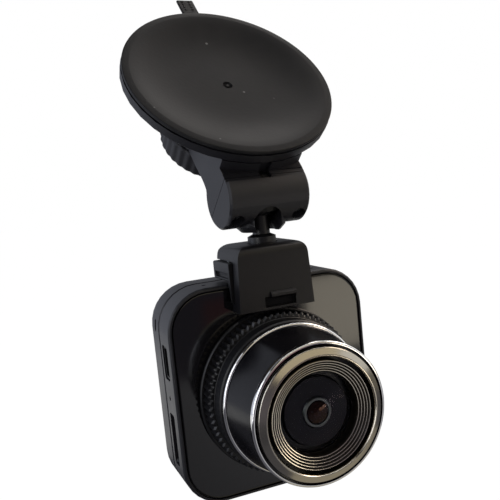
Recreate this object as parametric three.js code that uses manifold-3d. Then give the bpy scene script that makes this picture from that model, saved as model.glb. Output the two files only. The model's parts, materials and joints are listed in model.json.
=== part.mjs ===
// Compact dash camera on a windscreen suction mount.
// Millimetres, +Z up, the lens looks along -Y. The origin is the centre of the suction cup's rim.
// The camera hangs from a ball joint: cup and arm above, shoe and latch between, camera below.

import * as THREE from 'three';
import { mergeVertices } from 'three/addons/utils/BufferGeometryUtils.js';
import Module from 'manifold-3d';

const wasm = await Module();
wasm.setup();

// clearances
const seat_gap = 0.3;
const slide_gap = 0.25;
const ball_gap = 0.15;
const overrun = 2;

// Camera body, centred on x and z, front face at y = 0.
const body_width = 51;
const body_height = 52;
const body_depth = 18.4;
const body_corner_r = 10;
const front_shell_depth = 8.6;
const front_bevel = 0.7;
const rear_round = 3.2;
const seam_chamfer = 0.45;
const shell_wall = 1.7;

// Glossy front panel let into the front shell.
const panel_inset = 1.1;
const panel_thickness = 1.0;
const panel_edge_round = 0.4;

// Lens unit, all diameters as radii, all places measured forward from the front face.
const lens_drop = 0.9;
const flange_r = 20;
const flange_front = 1.6;
const grip_r = 19.4;
const grip_tooth_depth = 0.55;
const grip_front = 5.6;
const grip_teeth = 76;
const collar_r = 18;
const collar_front = 9.2;
const trim_ring_r = 17.65;
const trim_ring_front = 10.8;
const trim_ring_round = 0.3;
const barrel_r = 17.1;
const barrel_front_r = 15.55;
const barrel_front = 21;
const barrel_bore_r = 14.2;
const barrel_tail_r = 8.7;
const front_ring_r = 15.85;
const front_ring_front = 22.9;
const front_ring_round = 0.25;
const front_ring_lip_r = 15.3;
const face_recess = 1.4;
const bezel_r = 14.95;
const bezel_step = 0.7;
const bezel_lift = 0.5;
const bezel_edge_round = 0.35;
const bezel_inner_r = 12.25;
const bezel_rise = 0.9;
const ridge_outer_r = 11.4;
const ridge_inner_r = 8.3;
const ridge_count = 5;
const ridge_height = 0.45;
const ridge_drop = 0.7;
const ridge_fall = 1.4;
const glass_r = 7.9;
const glass_rise = 1.7;
const glass_thickness = 1.2;
const glass_drop = 0.6;
const cell_r = 7.6;
const cell_wall = 0.9;
const cell_bore_r = 2.4;
const cell_front_drop = 0.2;
const cell_reach = 8.4;
const inner_glass_r = 2.4;
const inner_glass_thickness = 1.2;
const iris_ring_r = 3.5;
const iris_ring_thickness = 0.4;
const rear_group_length = 12;

// Rear face: display, keys and screws.
const window_side_border = 8.5;
const window_end_border = 12;
const window_corner_r = 1.6;
const window_thickness = 1.2;
const display_thickness = 2.2;
const display_border = 1.4;
const key_inset = 5.1;
const key_width = 3.6;
const key_height = 6.2;
const key_flange = 0.6;
const key_flange_thickness = 0.6;
const key_proud = 0.7;
const key_travel = 0.5;
const key_stem_r = 0.9;
const key_pitch_share = 0.184;
const key_pair_share = 0.137;
const key_board_width = 6.2;
const key_board_margin = 3;
const screw_inset = 6.3;
const screw_head_r = 1.7;
const screw_head_height = 1.1;
const screw_shank_r = 0.9;
const screw_length = 9;
const screw_slot_width = 0.5;
const screw_slot_depth = 0.4;
const boss_wall = 1.1;

// Boards, cell and sound parts inside.
const board_thickness = 1.0;
const main_board_depth_share = 0.52;
const board_side_gap = 7;
const board_end_gap = 3.5;
const board_corner_cut = 6.6;
const board_corner_r = 1;
const board_post_r = 1.4;
const sensor_board_size = 17;
const sensor_board_depth_share = 0.37;
const sensor_width = 7.4;
const sensor_height = 5.6;
const sensor_thickness = 0.9;
const battery_width = 9.2;
const battery_end_gap = 12;
const battery_back_gap = 0.7;
const battery_side_gap = 1;
const battery_z = 3;
const battery_round = 1.2;
const speaker_r = 5;
const speaker_thickness = 2.4;
const speaker_side = 16;
const speaker_foot = 8.1;
const speaker_slot_length = 6;
const speaker_slot_width = 0.9;
const speaker_slot_pitch = 1.9;
const speaker_slot_count = 3;
const microphone_r = 1.8;
const microphone_length = 1.8;
const microphone_side = 11.1;
const microphone_y = 4.6;
const microphone_port_r = 0.55;

// Left side: oval vent, power inlet, reset pin hole and memory card slot.
const port_y = 5.0;
const inlet_foot_share = 0.28;
const inlet_height = 7.7;
const inlet_width = 3.7;
const inlet_depth = 7.6;
const inlet_wall = 0.4;
const inlet_tongue_height = 4.6;
const inlet_tongue_thickness = 0.9;
const reset_foot_share = 0.24;
const reset_hole_r = 0.6;
const reset_button_r = 0.55;
const reset_travel = 0.3;
const reset_box_size = 2.2;
const reset_box_depth = 3;
const card_foot_share = 0.135;
const card_height = 11;
const card_tube_gap = 1.5;
const card_thickness = 0.9;
const card_bay_depth = 1;
const card_bay_width = 3.7;
const card_bay_border = 0.8;
const card_bay_gap = 0.2;
const card_push = 0.8;
const card_corner_cut = 1.4;
const socket_wall = 0.3;
const vent_seam_gap = 3.2;
const vent_drop = 9.1;
const vent_height = 3;
const vent_width = 1.2;
const pry_notch_rise = 5.9;
const pry_notch_height = 2;
const pry_notch_depth = 0.7;

// Rail on top of the camera, and the shoe that it slides into.
const rail_front = 0.9;
const rail_back_gap = 7.2;
const rail_neck_width = 7;
const rail_neck_height = 1.7;
const rail_head_width = 11;
const rail_head_height = 1.5;
const rail_notch_y = 4.8;
const rail_notch_width = 1.6;
const rail_notch_depth = 0.9;
const shoe_width = 19;
const shoe_top_width = 17.4;
const shoe_front = 5.6;
const shoe_back = 8.6;
const shoe_lens_gap = 0.5;
const shoe_rise = 8.8;
const shoe_corner_r = 3;
const shoe_brow_r = 2.4;
const shoe_back_round = 1.2;
const pull_recess_width = 7.9;
const pull_recess_height = 2.5;
const pull_recess_depth = 1.2;
const pull_recess_rise = 1.8;
const pull_recess_x = 0.8;
const pull_bar_width = 6.4;
const pull_bar_height = 1.6;
const pull_bar_proud = 0.7;
const pull_bar_round = 0.5;
const latch_front_y = -2;
const latch_back = 9;
const latch_bottom = 0.5;
const latch_height = 4.3;
const latch_tail_drop = 5;
const latch_tail_width = 1.6;
const latch_tail_tip = 0.4;
const latch_thickness = 3;
const latch_proud = 0.55;
const latch_swing_gap = 0.8;
const latch_pivot_y = 2.4;
const latch_pin_r = 0.5;
const latch_pin_inset = 1.05;
const latch_pin_sink = 1.2;
const latch_nose_width = 1.1;
const latch_thumb_depth = 0.7;
const latch_thumb_height = 1.2;
const latch_round = 0.6;
const latch_spring_r = 0.7;
const latch_spring_length = 1.1;
const latch_spring_wire = 0.26;
const latch_spring_turns = 2;

// Ball stud: ball centre above the camera, stem down into the shoe.
const ball_y = 0.4;
const ball_rise = 11.3;
const ball_r = 5.4;
const stem_r = 3.4;
const stem_sink = 2.4;
const neck_r = 2.1;
const neck_reach = 9.2;
const neck_flare = 0.6;
const stud_screw_r = 1.2;
const stud_screw_head_r = 2.1;
const stud_screw_head_height = 1.0;
const stud_screw_length = 6;
const liner_thickness = 0.6;

// Arm and ball clamp, in the cup's own frame: across, up the cup's face, and out of its face.
const mount_turn_deg = 3.6;
const cup_face_rise_deg = 41.8;
const arm_width = 20.6;
const arm_front = 6.1;
const arm_back = 16.2;
const barrel_half_r = 7.2;
const barrel_rim_gap = 1.1;
const barrel_depth = 13;
const arm_end_round = 0.5;
const clamp_split_gap = 0.15;
const clamp_ledge_height = 1.1;
const clamp_ledge_depth = 0.4;
const front_notch_width = 2.8;
const front_notch_depth = 1;
const apron_wall = 4;
const collar_boss_r = 6;
const collar_tip_r = 4.7;
const collar_boss_drop = 8.5;
const stem_slot_half = 2.8;
const stem_slot_deg = 39;
const slot_end_r = 3.5;
const stem_mouth_r = 3.4;
const clamp_screw_x = 7.9;
const clamp_screw_head_r = 1.5;
const clamp_screw_head_height = 1.2;
const clamp_screw_r = 0.8;
const clamp_screw_length = 9;
const clamp_screw_sink = 3;

// Suction cup, its housing, and the quarter-turn pull mechanism.
const cup_rim_flat = 1.6;
const cup_lip = 1.0;
const cup_dish = 2.7;
const cup_thickness = 1.7;
const cup_dimple_r = 1.5;
const cup_dimple_depth = 0.5;
const cup_boss_r = 6.4;
const cup_boss_depth = 2.6;
const tab_width = 4.6;
const tab_flare = 0.6;
const tab_length = 6;
const tab_thickness = 1.1;
const tab_x = -1.2;
const shell_rim_r = 26.4;
const cup_rim_step = 0.1;
const cup_r = shell_rim_r - cup_rim_step;
const shell_rim_depth = 2.3;
const shell_rim_wall = 1.9;
const shell_back = 6.4;
const shell_shoulder_r = 20;
const shell_cavity_back = 5.2;
const shell_cavity_r = 12;
const hub_r = 13.2;
const stem_rod_r = 2.4;
const stem_head_r = 4.6;
const stem_head_thickness = 1.2;
const rod_pull = 1.2;
const knob_r = 13.8;
const knob_length = 6.6;
const knob_ribs = 36;
const knob_rib_height = 0.45;
const knob_rib_share = 0.3;
const knob_round = 1;
const knob_well_r = 6;
const knob_well_depth = 2.6;
const pin_r = 0.8;
const pin_length = 9;
const cup_spring_r = 3.9;
const cup_spring_wire = 0.7;
const cup_spring_turns = 3;

// Facet counts.
const fine_steps = 36;
const mid_steps = 20;
const small_steps = 10;
const round_steps = 28;
const pin_steps = 14;
const tiny_steps = 8;
const ball_rings = 12;
const curve_steps = 6;
const straight_steps = 1;
const dome_rings = 3;
const corner_steps = 4;
const key_corner_steps = 2;
const body_corner_steps = 8;

// solid helpers
// Signed volume of a triangle list: negative where the faces point inward.
function signedVolume(position, index) {
  let sum = 0;
  for (let i = 0; i < index.length; i += 3) {
    const [a, b, c] = [0, 1, 2].map((k) => position.slice(3 * index[i + k], 3 * index[i + k] + 3));
    sum += a[0] * (b[1] * c[2] - b[2] * c[1])
      + a[1] * (b[2] * c[0] - b[0] * c[2])
      + a[2] * (b[0] * c[1] - b[1] * c[0]);
  }
  return sum;
}

function toSolid(geometry) {
  const plain = geometry.index ? geometry.toNonIndexed() : geometry.clone();
  plain.deleteAttribute('normal');
  plain.deleteAttribute('uv');
  const merged = mergeVertices(plain, 1e-5);
  const position = new Float32Array(merged.attributes.position.array);
  const triangles = [];
  for (let i = 0; i < merged.index.count; i += 3) {
    const corner = [0, 1, 2].map((k) => merged.index.getX(i + k));
    if (new Set(corner).size === 3) {
      triangles.push(corner);
    }
  }
  if (signedVolume(position, triangles.flat()) < 0) {
    triangles.forEach((corner) => corner.reverse());
  }
  return new wasm.Manifold(new wasm.Mesh({
    numProp: 3,
    vertProperties: position,
    triVerts: new Uint32Array(triangles.flat()),
  }));
}

function toGeometry(solid) {
  const mesh = solid.getMesh();
  const geometry = new THREE.BufferGeometry();
  geometry.setAttribute('position', new THREE.BufferAttribute(mesh.vertProperties, 3));
  geometry.setIndex(new THREE.BufferAttribute(mesh.triVerts, 1));
  geometry.computeVertexNormals();
  return geometry;
}

function cutAll(base, tools) {
  return tools.reduce((left, tool) => left.subtract(tool), base);
}

function joinAll(pieces) {
  return pieces.reduce((sum, piece) => sum.add(piece));
}

// A box between two corners.
function boxSolid(low, high) {
  const size = high.map((value, i) => value - low[i]);
  const geometry = new THREE.BoxGeometry(...size);
  geometry.translate(...low.map((value, i) => value + size[i] / 2));
  return toSolid(geometry);
}

// A revolve about +Z: profile points are [radius, height].
function turnedZ(profile, steps = mid_steps) {
  const points = profile.map(([r, h]) => new THREE.Vector2(r, h));
  const geometry = new THREE.LatheGeometry(points, steps);
  geometry.rotateX(Math.PI / 2);
  return toSolid(geometry);
}

// A revolve about the lens axis: heights run forward, along -Y, from the front face.
function turnedLens(profile, steps = mid_steps) {
  const points = profile.map(([r, h]) => new THREE.Vector2(r, h));
  const geometry = new THREE.LatheGeometry(points, steps);
  geometry.rotateX(Math.PI);
  geometry.translate(0, 0, -lens_drop);
  return toSolid(geometry);
}

function rod(radius, from, to, steps = small_steps) {
  const start = new THREE.Vector3(...from);
  const end = new THREE.Vector3(...to);
  const axis = end.clone().sub(start);
  const geometry = new THREE.CylinderGeometry(radius, radius, axis.length(), steps);
  const turn = new THREE.Quaternion().setFromUnitVectors(
    new THREE.Vector3(0, 1, 0),
    axis.clone().normalize(),
  );
  geometry.applyQuaternion(turn);
  geometry.translate(...start.add(end).multiplyScalar(1 / 2).toArray());
  return toSolid(geometry);
}

function extruded(shape, depth, curve = corner_steps) {
  return new THREE.ExtrudeGeometry(shape, { depth, bevelEnabled: false, curveSegments: curve });
}

// An outline drawn in (y, z) and drawn out along X.
function alongX(shape, x0, x1, curve) {
  const geometry = extruded(shape, x1 - x0, curve);
  const basis = new THREE.Matrix4().makeBasis(
    new THREE.Vector3(0, 1, 0),
    new THREE.Vector3(0, 0, 1),
    new THREE.Vector3(1, 0, 0),
  );
  geometry.applyMatrix4(basis);
  geometry.translate(x0, 0, 0);
  return toSolid(geometry);
}

// An outline drawn in (x, z) and drawn out along +Y.
function alongY(shape, y0, y1, curve) {
  const geometry = extruded(shape, y1 - y0, curve);
  geometry.rotateX(Math.PI / 2);
  geometry.translate(0, y1, 0);
  return toSolid(geometry);
}

// A round-cornered rectangle as points, counter-clockwise.
function roundedPoints(half_w, half_h, r, steps = corner_steps) {
  const points = [];
  const corners = [[1, 1, 0], [-1, 1, 1], [-1, -1, 2], [1, -1, 3]];
  for (const [sx, sz, quarter] of corners) {
    for (let i = 0; i <= steps; i += 1) {
      const angle = (quarter + i / steps) * Math.PI / 2;
      points.push([
        sx * (half_w - r) + r * Math.cos(angle),
        sz * (half_h - r) + r * Math.sin(angle),
      ]);
    }
  }
  return points;
}

// A plate lofted along Y through round-cornered outlines: [y, inset] for each station.
function lofted(half_w, half_h, corner, stations, steps = corner_steps) {
  const rings = stations.map(([y, inset]) => {
    const r = Math.max(corner - inset, corner / 8);
    return roundedPoints(half_w - inset, half_h - inset, r, steps).map(([x, z]) => [x, y, z]);
  });
  const count = rings[0].length;
  const position = rings.flat(2);
  const index = [];
  for (let s = 0; s + 1 < rings.length; s += 1) {
    for (let i = 0; i < count; i += 1) {
      const j = (i + 1) % count;
      const a = s * count + i;
      const b = s * count + j;
      index.push(a, a + count, b + count, a, b + count, b);
    }
  }
  const front = position.length / 3;
  position.push(0, stations[0][0], 0);
  const back = front + 1;
  position.push(0, stations[stations.length - 1][0], 0);
  const last = (rings.length - 1) * count;
  for (let i = 0; i < count; i += 1) {
    const j = (i + 1) % count;
    index.push(front, i, j);
    index.push(back, last + j, last + i);
  }
  const geometry = new THREE.BufferGeometry();
  geometry.setAttribute('position', new THREE.BufferAttribute(new Float32Array(position), 3));
  geometry.setIndex(index);
  return toSolid(geometry);
}

function roundedShape(half_w, half_h, r) {
  return new THREE.Shape(roundedPoints(half_w, half_h, r).map(([x, y]) => new THREE.Vector2(x, y)));
}

// An upright slot outline: a round-ended hole through a side wall, drawn in (y, z).
function sideHole(y, z, width, height, x0, x1) {
  const r = Math.min(width, height) / 2;
  const shape = roundedShape(width / 2, height / 2, r * 0.98);
  return alongX(shape, x0, x1).translate([0, y, z]);
}

// A coil spring about +Z as one tube with plain ends.
class Helix extends THREE.Curve {
  constructor(radius, height, turns) {
    super();
    this.radius = radius;
    this.height = height;
    this.turns = turns;
  }

  getPoint(t, target = new THREE.Vector3()) {
    const angle = t * this.turns * Math.PI * 2;
    return target.set(this.radius * Math.cos(angle), this.radius * Math.sin(angle), this.height * t);
  }
}

function coil(radius, wire, height, turns) {
  const section = new THREE.Shape();
  section.absarc(0, 0, wire / 2, 0, Math.PI * 2);
  const geometry = new THREE.ExtrudeGeometry(section, {
    steps: turns * 8,
    curveSegments: 3,
    extrudePath: new Helix(radius, height, turns),
  });
  return toSolid(geometry);
}

// A slotted pan-head screw: head top at z = 0, shank down.
function screwSolid(head_r, head_height, shank_r, length) {
  const edge = head_height / 3;
  const body = turnedZ([
    [0, -length],
    [shank_r * 0.6, -length],
    [shank_r, -length + shank_r],
    [shank_r, -head_height],
    [head_r, -head_height],
    [head_r, -edge],
    [head_r - edge, 0],
    [0, 0],
  ], small_steps);
  const slot = boxSolid(
    [-screw_slot_width / 2, -head_r - overrun, -screw_slot_depth],
    [screw_slot_width / 2, head_r + overrun, overrun],
  );
  return body.subtract(slot);
}

// scene helpers
const part = new THREE.Group();
const camera_frame = new THREE.Group();
const cup_frame = new THREE.Group();
part.add(camera_frame, cup_frame);

function addPiece(parent, name, solid, color, roughness, metalness = 0) {
  const material = new THREE.MeshStandardMaterial({ color, roughness, metalness });
  const mesh = new THREE.Mesh(toGeometry(solid), material);
  mesh.name = name;
  parent.add(mesh);
  return mesh;
}

const black_matte = '#1b1b1e';
const black_gloss = '#0d0d10';
const grey_plastic = '#2b2b30';
const rubber_grey = '#4b4a4d';
const chrome_silver = '#d8d9dc';
const satin_bronze = '#b7a995';
const steel_grey = '#8f9196';
const board_green = '#1f4a33';
const glass_blue = '#2b3a4a';

const half_w = body_width / 2;
const half_h = body_height / 2;
const window_width = body_width - 2 * window_side_border;
const window_height = body_height - 2 * window_end_border;
const key_x = half_w - key_inset;
const key_pitch = body_height * key_pitch_share;
const key_pair_z = body_height * key_pair_share;
const speaker_x = half_w - speaker_side;
const speaker_z = speaker_foot - half_h;
const microphone_x = half_w - microphone_side;
const vent_z = half_h - vent_drop;
const pry_notch_z = pry_notch_rise - half_h;
const rear_shell_front = front_shell_depth + seat_gap;
const cavity_front = panel_thickness + shell_wall;
const main_board_front = body_depth * main_board_depth_share;
const sensor_board_front = body_depth * sensor_board_depth_share;
const battery_thickness = main_board_front - cavity_front - seat_gap - battery_back_gap;
const vent_y = rear_shell_front + vent_seam_gap;
const cavity_corner = body_corner_r - shell_wall;

// Screw places, shared by the rear shell, the bosses and the screws.
const screw_places = [[1, 1], [-1, 1], [-1, -1], [1, -1]].map(([sx, sz]) => [
  sx * (half_w - screw_inset),
  sz * (half_h - screw_inset),
]);
const boss_r = screw_shank_r + slide_gap + boss_wall;

// The ports share out what is free of the left wall between its two screw bosses.
const inlet_cut_height = inlet_height + 2 * seat_gap;
const sleeve_height = card_height + 2 * slide_gap + 2 * socket_wall;
const port_foot = screw_inset + boss_r - half_h;
const port_slack = -2 * port_foot - inlet_cut_height - reset_box_size - sleeve_height;
const card_z = port_foot + port_slack * card_foot_share + sleeve_height / 2;
const reset_z = card_z + sleeve_height / 2 + port_slack * reset_foot_share + reset_box_size / 2;
const inlet_z = reset_z + reset_box_size / 2 + port_slack * inlet_foot_share + inlet_cut_height / 2;
const card_recess = card_bay_depth + card_bay_gap;
const card_length = half_w - card_recess - card_tube_gap - barrel_tail_r;

const screw_head_y = body_depth - seat_gap;
const screw_seat_y = screw_head_y - screw_head_height;
const key_places = [
  ['power_button', -key_x, key_pair_z],
  ['menu_button', -key_x, -key_pair_z],
  ['up_button', key_x, key_pitch],
  ['ok_button', key_x, 0],
  ['down_button', key_x, -key_pitch],
];

// camera shells
function frontHousing() {
  const shell = lofted(half_w, half_h, body_corner_r, [
    [0, front_bevel],
    [front_bevel * 0.22, front_bevel * 0.45],
    [front_bevel * 0.6, front_bevel * 0.1],
    [front_bevel, 0],
    [front_shell_depth - seam_chamfer, 0],
    [front_shell_depth, seam_chamfer],
  ], body_corner_steps);
  const cavity = lofted(half_w - shell_wall, half_h - shell_wall, cavity_corner, [
    [cavity_front, 0],
    [front_shell_depth + overrun, 0],
  ]);
  const panel_pocket = lofted(
    half_w - panel_inset + seat_gap,
    half_h - panel_inset + seat_gap,
    body_corner_r - panel_inset + seat_gap,
    [[-overrun, 0], [panel_thickness, 0]],
    body_corner_steps,
  );
  const lens_hole = rod(
    barrel_tail_r + seat_gap,
    [0, -overrun, -lens_drop],
    [0, cavity_front + overrun, -lens_drop],
    mid_steps,
  );
  let solid = cutAll(shell, [cavity, panel_pocket, lens_hole]);
  for (const [x, z] of screw_places) {
    const boss = rod(boss_r, [x, panel_thickness + shell_wall / 2, z], [x, front_shell_depth, z],
      small_steps);
    solid = solid.add(boss);
  }
  for (const [x, z] of screw_places) {
    const hole_r = screw_shank_r + slide_gap;
    const bottom = screw_head_y - screw_length - seat_gap;
    solid = solid.subtract(rod(hole_r, [x, bottom, z], [x, front_shell_depth + overrun, z],
      tiny_steps));
  }
  return cutAll(solid, sideCuts()).subtract(speakerSlots()).subtract(topPort());
}

// The openings in the left side of the front shell.
function sideCuts() {
  const x0 = -half_w - overrun;
  const x1 = -half_w + shell_wall + overrun;
  const inlet = sideBox(
    inlet_width + 2 * seat_gap,
    inlet_height + 2 * seat_gap,
    x0,
    -half_w + inlet_depth + 2 * seat_gap,
  ).translate([0, port_y, inlet_z]);
  const reset = rod(reset_hole_r, [x0, port_y, reset_z], [x1, port_y, reset_z], pin_steps);
  const card = boxSolid(
    [x0, port_y - card_thickness / 2 - slide_gap, card_z - card_height / 2 - slide_gap],
    [x1, port_y + card_thickness / 2 + slide_gap, card_z + card_height / 2 + slide_gap],
  );
  const bay = sideBox(
    card_bay_width,
    card_height + 2 * card_bay_border,
    x0,
    -half_w + card_bay_depth,
  ).translate([0, port_y, card_z]);
  return [inlet, reset, card, bay];
}

// Sound slots through the floor of the front shell, below the speaker.
function speakerSlots() {
  const slots = [];
  for (let i = 0; i < speaker_slot_count; i += 1) {
    const x = speaker_x + (i - (speaker_slot_count - 1) / 2) * speaker_slot_pitch;
    const y = cavity_front + seat_gap + speaker_thickness / 2;
    slots.push(boxSolid(
      [x - speaker_slot_width / 2, y - speaker_thickness / 2, -half_h - overrun],
      [x + speaker_slot_width / 2, y + speaker_thickness / 2, -half_h + shell_wall + overrun / 2],
    ));
  }
  return joinAll(slots);
}

function topPort() {
  const low = half_h - shell_wall - overrun / 4;
  return joinAll([-1, 1].map((side) => rod(
    microphone_port_r,
    [side * microphone_x, microphone_y, low],
    [side * microphone_x, microphone_y, half_h + overrun],
  )));
}

function rearHousing() {
  const shell = lofted(half_w, half_h, body_corner_r, [
    [rear_shell_front, seam_chamfer],
    [rear_shell_front + seam_chamfer, 0],
    [body_depth - rear_round, 0],
    [body_depth - rear_round * 0.62, rear_round * 0.08],
    [body_depth - rear_round * 0.29, rear_round * 0.29],
    [body_depth - rear_round * 0.08, rear_round * 0.62],
    [body_depth, rear_round],
  ], body_corner_steps);
  const cavity_inset = shell_wall;
  const cavity = lofted(half_w - cavity_inset, half_h - cavity_inset, cavity_corner, [
    [rear_shell_front - overrun, 0],
    [body_depth - rear_round, 0],
    [body_depth - shell_wall, rear_round - shell_wall / 2],
  ]);
  const window_pocket = lofted(
    window_width / 2 + seat_gap,
    window_height / 2 + seat_gap,
    window_corner_r + seat_gap,
    [[body_depth - shell_wall - overrun, 0], [body_depth + overrun, 0]],
  );
  let solid = cutAll(shell, [cavity, window_pocket]);
  for (const [x, z] of screw_places) {
    const post_r = screw_head_r + slide_gap + boss_wall / 2;
    const post = rod(post_r, [x, rear_shell_front, z], [x, body_depth - shell_wall / 2, z], small_steps);
    const sink = rod(screw_head_r + slide_gap, [x, screw_seat_y - seat_gap, z],
      [x, body_depth + overrun, z], small_steps);
    const hole = rod(screw_shank_r + slide_gap, [x, 0, z], [x, body_depth, z], tiny_steps);
    solid = solid.add(post).subtract(sink).subtract(hole);
  }
  for (const [, x, z] of key_places) {
    const hole = lofted(
      key_width / 2 + slide_gap,
      key_height / 2 + slide_gap,
      key_width / 2 * 0.98 + slide_gap,
      [[body_depth - rear_round - overrun, 0], [body_depth + overrun, 0]],
      key_corner_steps,
    ).translate([x, 0, z]);
    solid = solid.subtract(hole);
    const recess = lofted(
      key_width / 2 + key_flange + slide_gap,
      key_height / 2 + key_flange + slide_gap,
      key_width / 2 * 0.98 + key_flange + slide_gap,
      [[body_depth - rear_round - overrun, 0], [body_depth - shell_wall, 0]],
      key_corner_steps,
    ).translate([x, 0, z]);
    solid = solid.subtract(recess);
  }
  const vent = sideHole(vent_y, vent_z, vent_width, vent_height, -half_w - overrun,
    -half_w + shell_wall + overrun);
  const notch = boxSolid(
    [-half_w - overrun, vent_y - vent_width / 2, pry_notch_z - pry_notch_height / 2],
    [-half_w + pry_notch_depth, vent_y + vent_width, pry_notch_z + pry_notch_height / 2],
  );
  return cutAll(solid, [vent, notch]);
}

function frontPanel() {
  const plate = lofted(
    half_w - panel_inset,
    half_h - panel_inset,
    body_corner_r - panel_inset,
    [
      [0, panel_edge_round],
      [panel_edge_round * 0.3, panel_edge_round * 0.3],
      [panel_edge_round, 0],
      [panel_thickness - seat_gap, 0],
    ],
    body_corner_steps,
  );
  const hole = rod(barrel_tail_r + seat_gap, [0, -overrun, -lens_drop], [0, overrun, -lens_drop],
    mid_steps);
  return plate.subtract(hole);
}

// lens unit
// The grip ring: a flange, a band of axial teeth and a plain collar in one turned piece.
function gripRing() {
  const bore = barrel_r - seat_gap;
  const root_r = grip_r - grip_tooth_depth;
  const blank = turnedLens([
    [bore, seat_gap],
    [flange_r - seat_gap, seat_gap],
    [flange_r, flange_front / 2],
    [flange_r, flange_front],
    [root_r - seat_gap, flange_front],
    [root_r - seat_gap, grip_front],
    [collar_r, grip_front],
    [collar_r, collar_front - seat_gap],
    [collar_r - seat_gap, collar_front],
    [bore, collar_front],
    [bore, seat_gap],
  ], fine_steps);
  const outline = new THREE.Shape();
  const inside = new THREE.Path();
  const tooth = Math.PI * 2 / grip_teeth;
  for (let i = 0; i < grip_teeth; i += 1) {
    const crest = i * tooth;
    const root = crest + tooth / 2;
    const start = i === 0 ? 'moveTo' : 'lineTo';
    outline[start](grip_r * Math.cos(crest), grip_r * Math.sin(crest));
    outline.lineTo(root_r * Math.cos(root), root_r * Math.sin(root));
  }
  outline.closePath();
  inside.absarc(0, 0, (bore + root_r) / 2, 0, Math.PI * 2);
  outline.holes.push(inside);
  const teeth = alongY(outline, -grip_front, -flange_front + seat_gap, mid_steps)
    .translate([0, 0, -lens_drop]);
  return blank.add(teeth);
}

function trimRing() {
  const back = collar_front + seat_gap;
  const bore = barrel_r - seat_gap;
  return turnedLens([
    [bore, back],
    [trim_ring_r - trim_ring_round, back],
    [trim_ring_r, back + trim_ring_round],
    [trim_ring_r, trim_ring_front - trim_ring_round],
    [trim_ring_r - trim_ring_round * 0.3, trim_ring_front - trim_ring_round * 0.3],
    [trim_ring_r - trim_ring_round, trim_ring_front],
    [bore, trim_ring_front],
    [bore, back],
  ], fine_steps);
}

// The barrel tube: a slim tail through the front wall, a hidden waist, and the tapered nose.
function lensBarrel() {
  const waist_r = barrel_r - seat_gap * 2;
  const tube_bore = cell_r + seat_gap;
  return turnedLens([
    [tube_bore, seat_gap - sensor_board_front],
    [barrel_tail_r, seat_gap - sensor_board_front],
    [barrel_tail_r, seat_gap],
    [waist_r, seat_gap],
    [waist_r, trim_ring_front + seat_gap],
    [barrel_r, trim_ring_front + seat_gap],
    [barrel_front_r, barrel_front],
    [barrel_bore_r, barrel_front],
    [barrel_bore_r, barrel_front - face_recess],
    [tube_bore, barrel_front - face_recess],
    [tube_bore, seat_gap - sensor_board_front],
  ], fine_steps);
}

function frontRing() {
  const back = barrel_front + seat_gap;
  const round = front_ring_round;
  return turnedLens([
    [front_ring_lip_r, back],
    [front_ring_r - round, back],
    [front_ring_r, back + round],
    [front_ring_r, front_ring_front - round],
    [front_ring_r - round, front_ring_front],
    [front_ring_lip_r, front_ring_front],
    [front_ring_lip_r, back],
  ], fine_steps);
}

// The cone between the front ring and the ridged ring rises toward the glass.
function bezelRing() {
  const back = barrel_front - face_recess + seat_gap;
  const shoulder = front_ring_front - bezel_step;
  const edge = front_ring_front + bezel_lift;
  const round = bezel_edge_round;
  const rim_r = bezel_r - seat_gap;
  const step_r = barrel_bore_r - seat_gap;
  return turnedLens([
    [bezel_inner_r, back],
    [step_r, back],
    [step_r, shoulder],
    [rim_r, shoulder],
    [rim_r, edge - round],
    [rim_r - round, edge],
    [bezel_inner_r + round, edge + bezel_rise],
    [bezel_inner_r, edge + bezel_rise - round],
    [bezel_inner_r, back],
  ], fine_steps);
}

function ridgeRing() {
  const back = barrel_front - face_recess + seat_gap;
  const top = bezel_top - ridge_drop;
  const fall = ridge_fall / ridge_count;
  const pitch = (ridge_outer_r - ridge_inner_r) / ridge_count;
  const profile = [[ridge_inner_r, back], [ridge_outer_r, back]];
  for (let i = 0; i < ridge_count; i += 1) {
    const r = ridge_outer_r - i * pitch;
    const crest = top - i * fall;
    profile.push([r, crest - ridge_height]);
    profile.push([r - pitch / 2, crest]);
  }
  profile.push([ridge_inner_r, top - ridge_fall - ridge_height]);
  profile.push([ridge_inner_r, back]);
  return turnedLens(profile, fine_steps);
}

const bezel_top = front_ring_front + bezel_lift + bezel_rise;
const glass_top = bezel_top - glass_drop;
const glass_edge = glass_top - glass_rise;

// A domed meniscus: profile points on two shallow arcs.
function domedDisc(radius, edge_front, rise, thickness, steps, rings) {
  const profile = [];
  for (let i = 0; i <= rings; i += 1) {
    const r = radius * i / rings;
    const back = edge_front - thickness + rise * 0.7 * (1 - (r / radius) ** 2);
    profile.push([r, back]);
  }
  for (let i = rings; i >= 0; i -= 1) {
    const r = radius * i / rings;
    profile.push([r, edge_front + rise * (1 - (r / radius) ** 2)]);
  }
  return turnedLens(profile, steps);
}

function frontGlass() {
  return domedDisc(glass_r, glass_edge, glass_rise, glass_thickness, round_steps,
    dome_rings);
}

// The black cell: a stepped tube that carries the glass in front and the small lens in its throat.
function lensCell() {
  const front = glass_edge - glass_thickness - seat_gap;
  const floor = front - cell_front_drop;
  const back = barrel_front - face_recess - cell_reach;
  return turnedLens([
    [cell_bore_r + seat_gap, back],
    [cell_r, back],
    [cell_r, front],
    [cell_r - cell_wall, front],
    [iris_ring_r + seat_gap * 2, floor + seat_gap],
    [cell_bore_r + seat_gap, floor + seat_gap],
    [cell_bore_r + seat_gap, back],
  ], mid_steps);
}

const cell_floor = glass_edge - glass_thickness - cell_front_drop;

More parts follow.
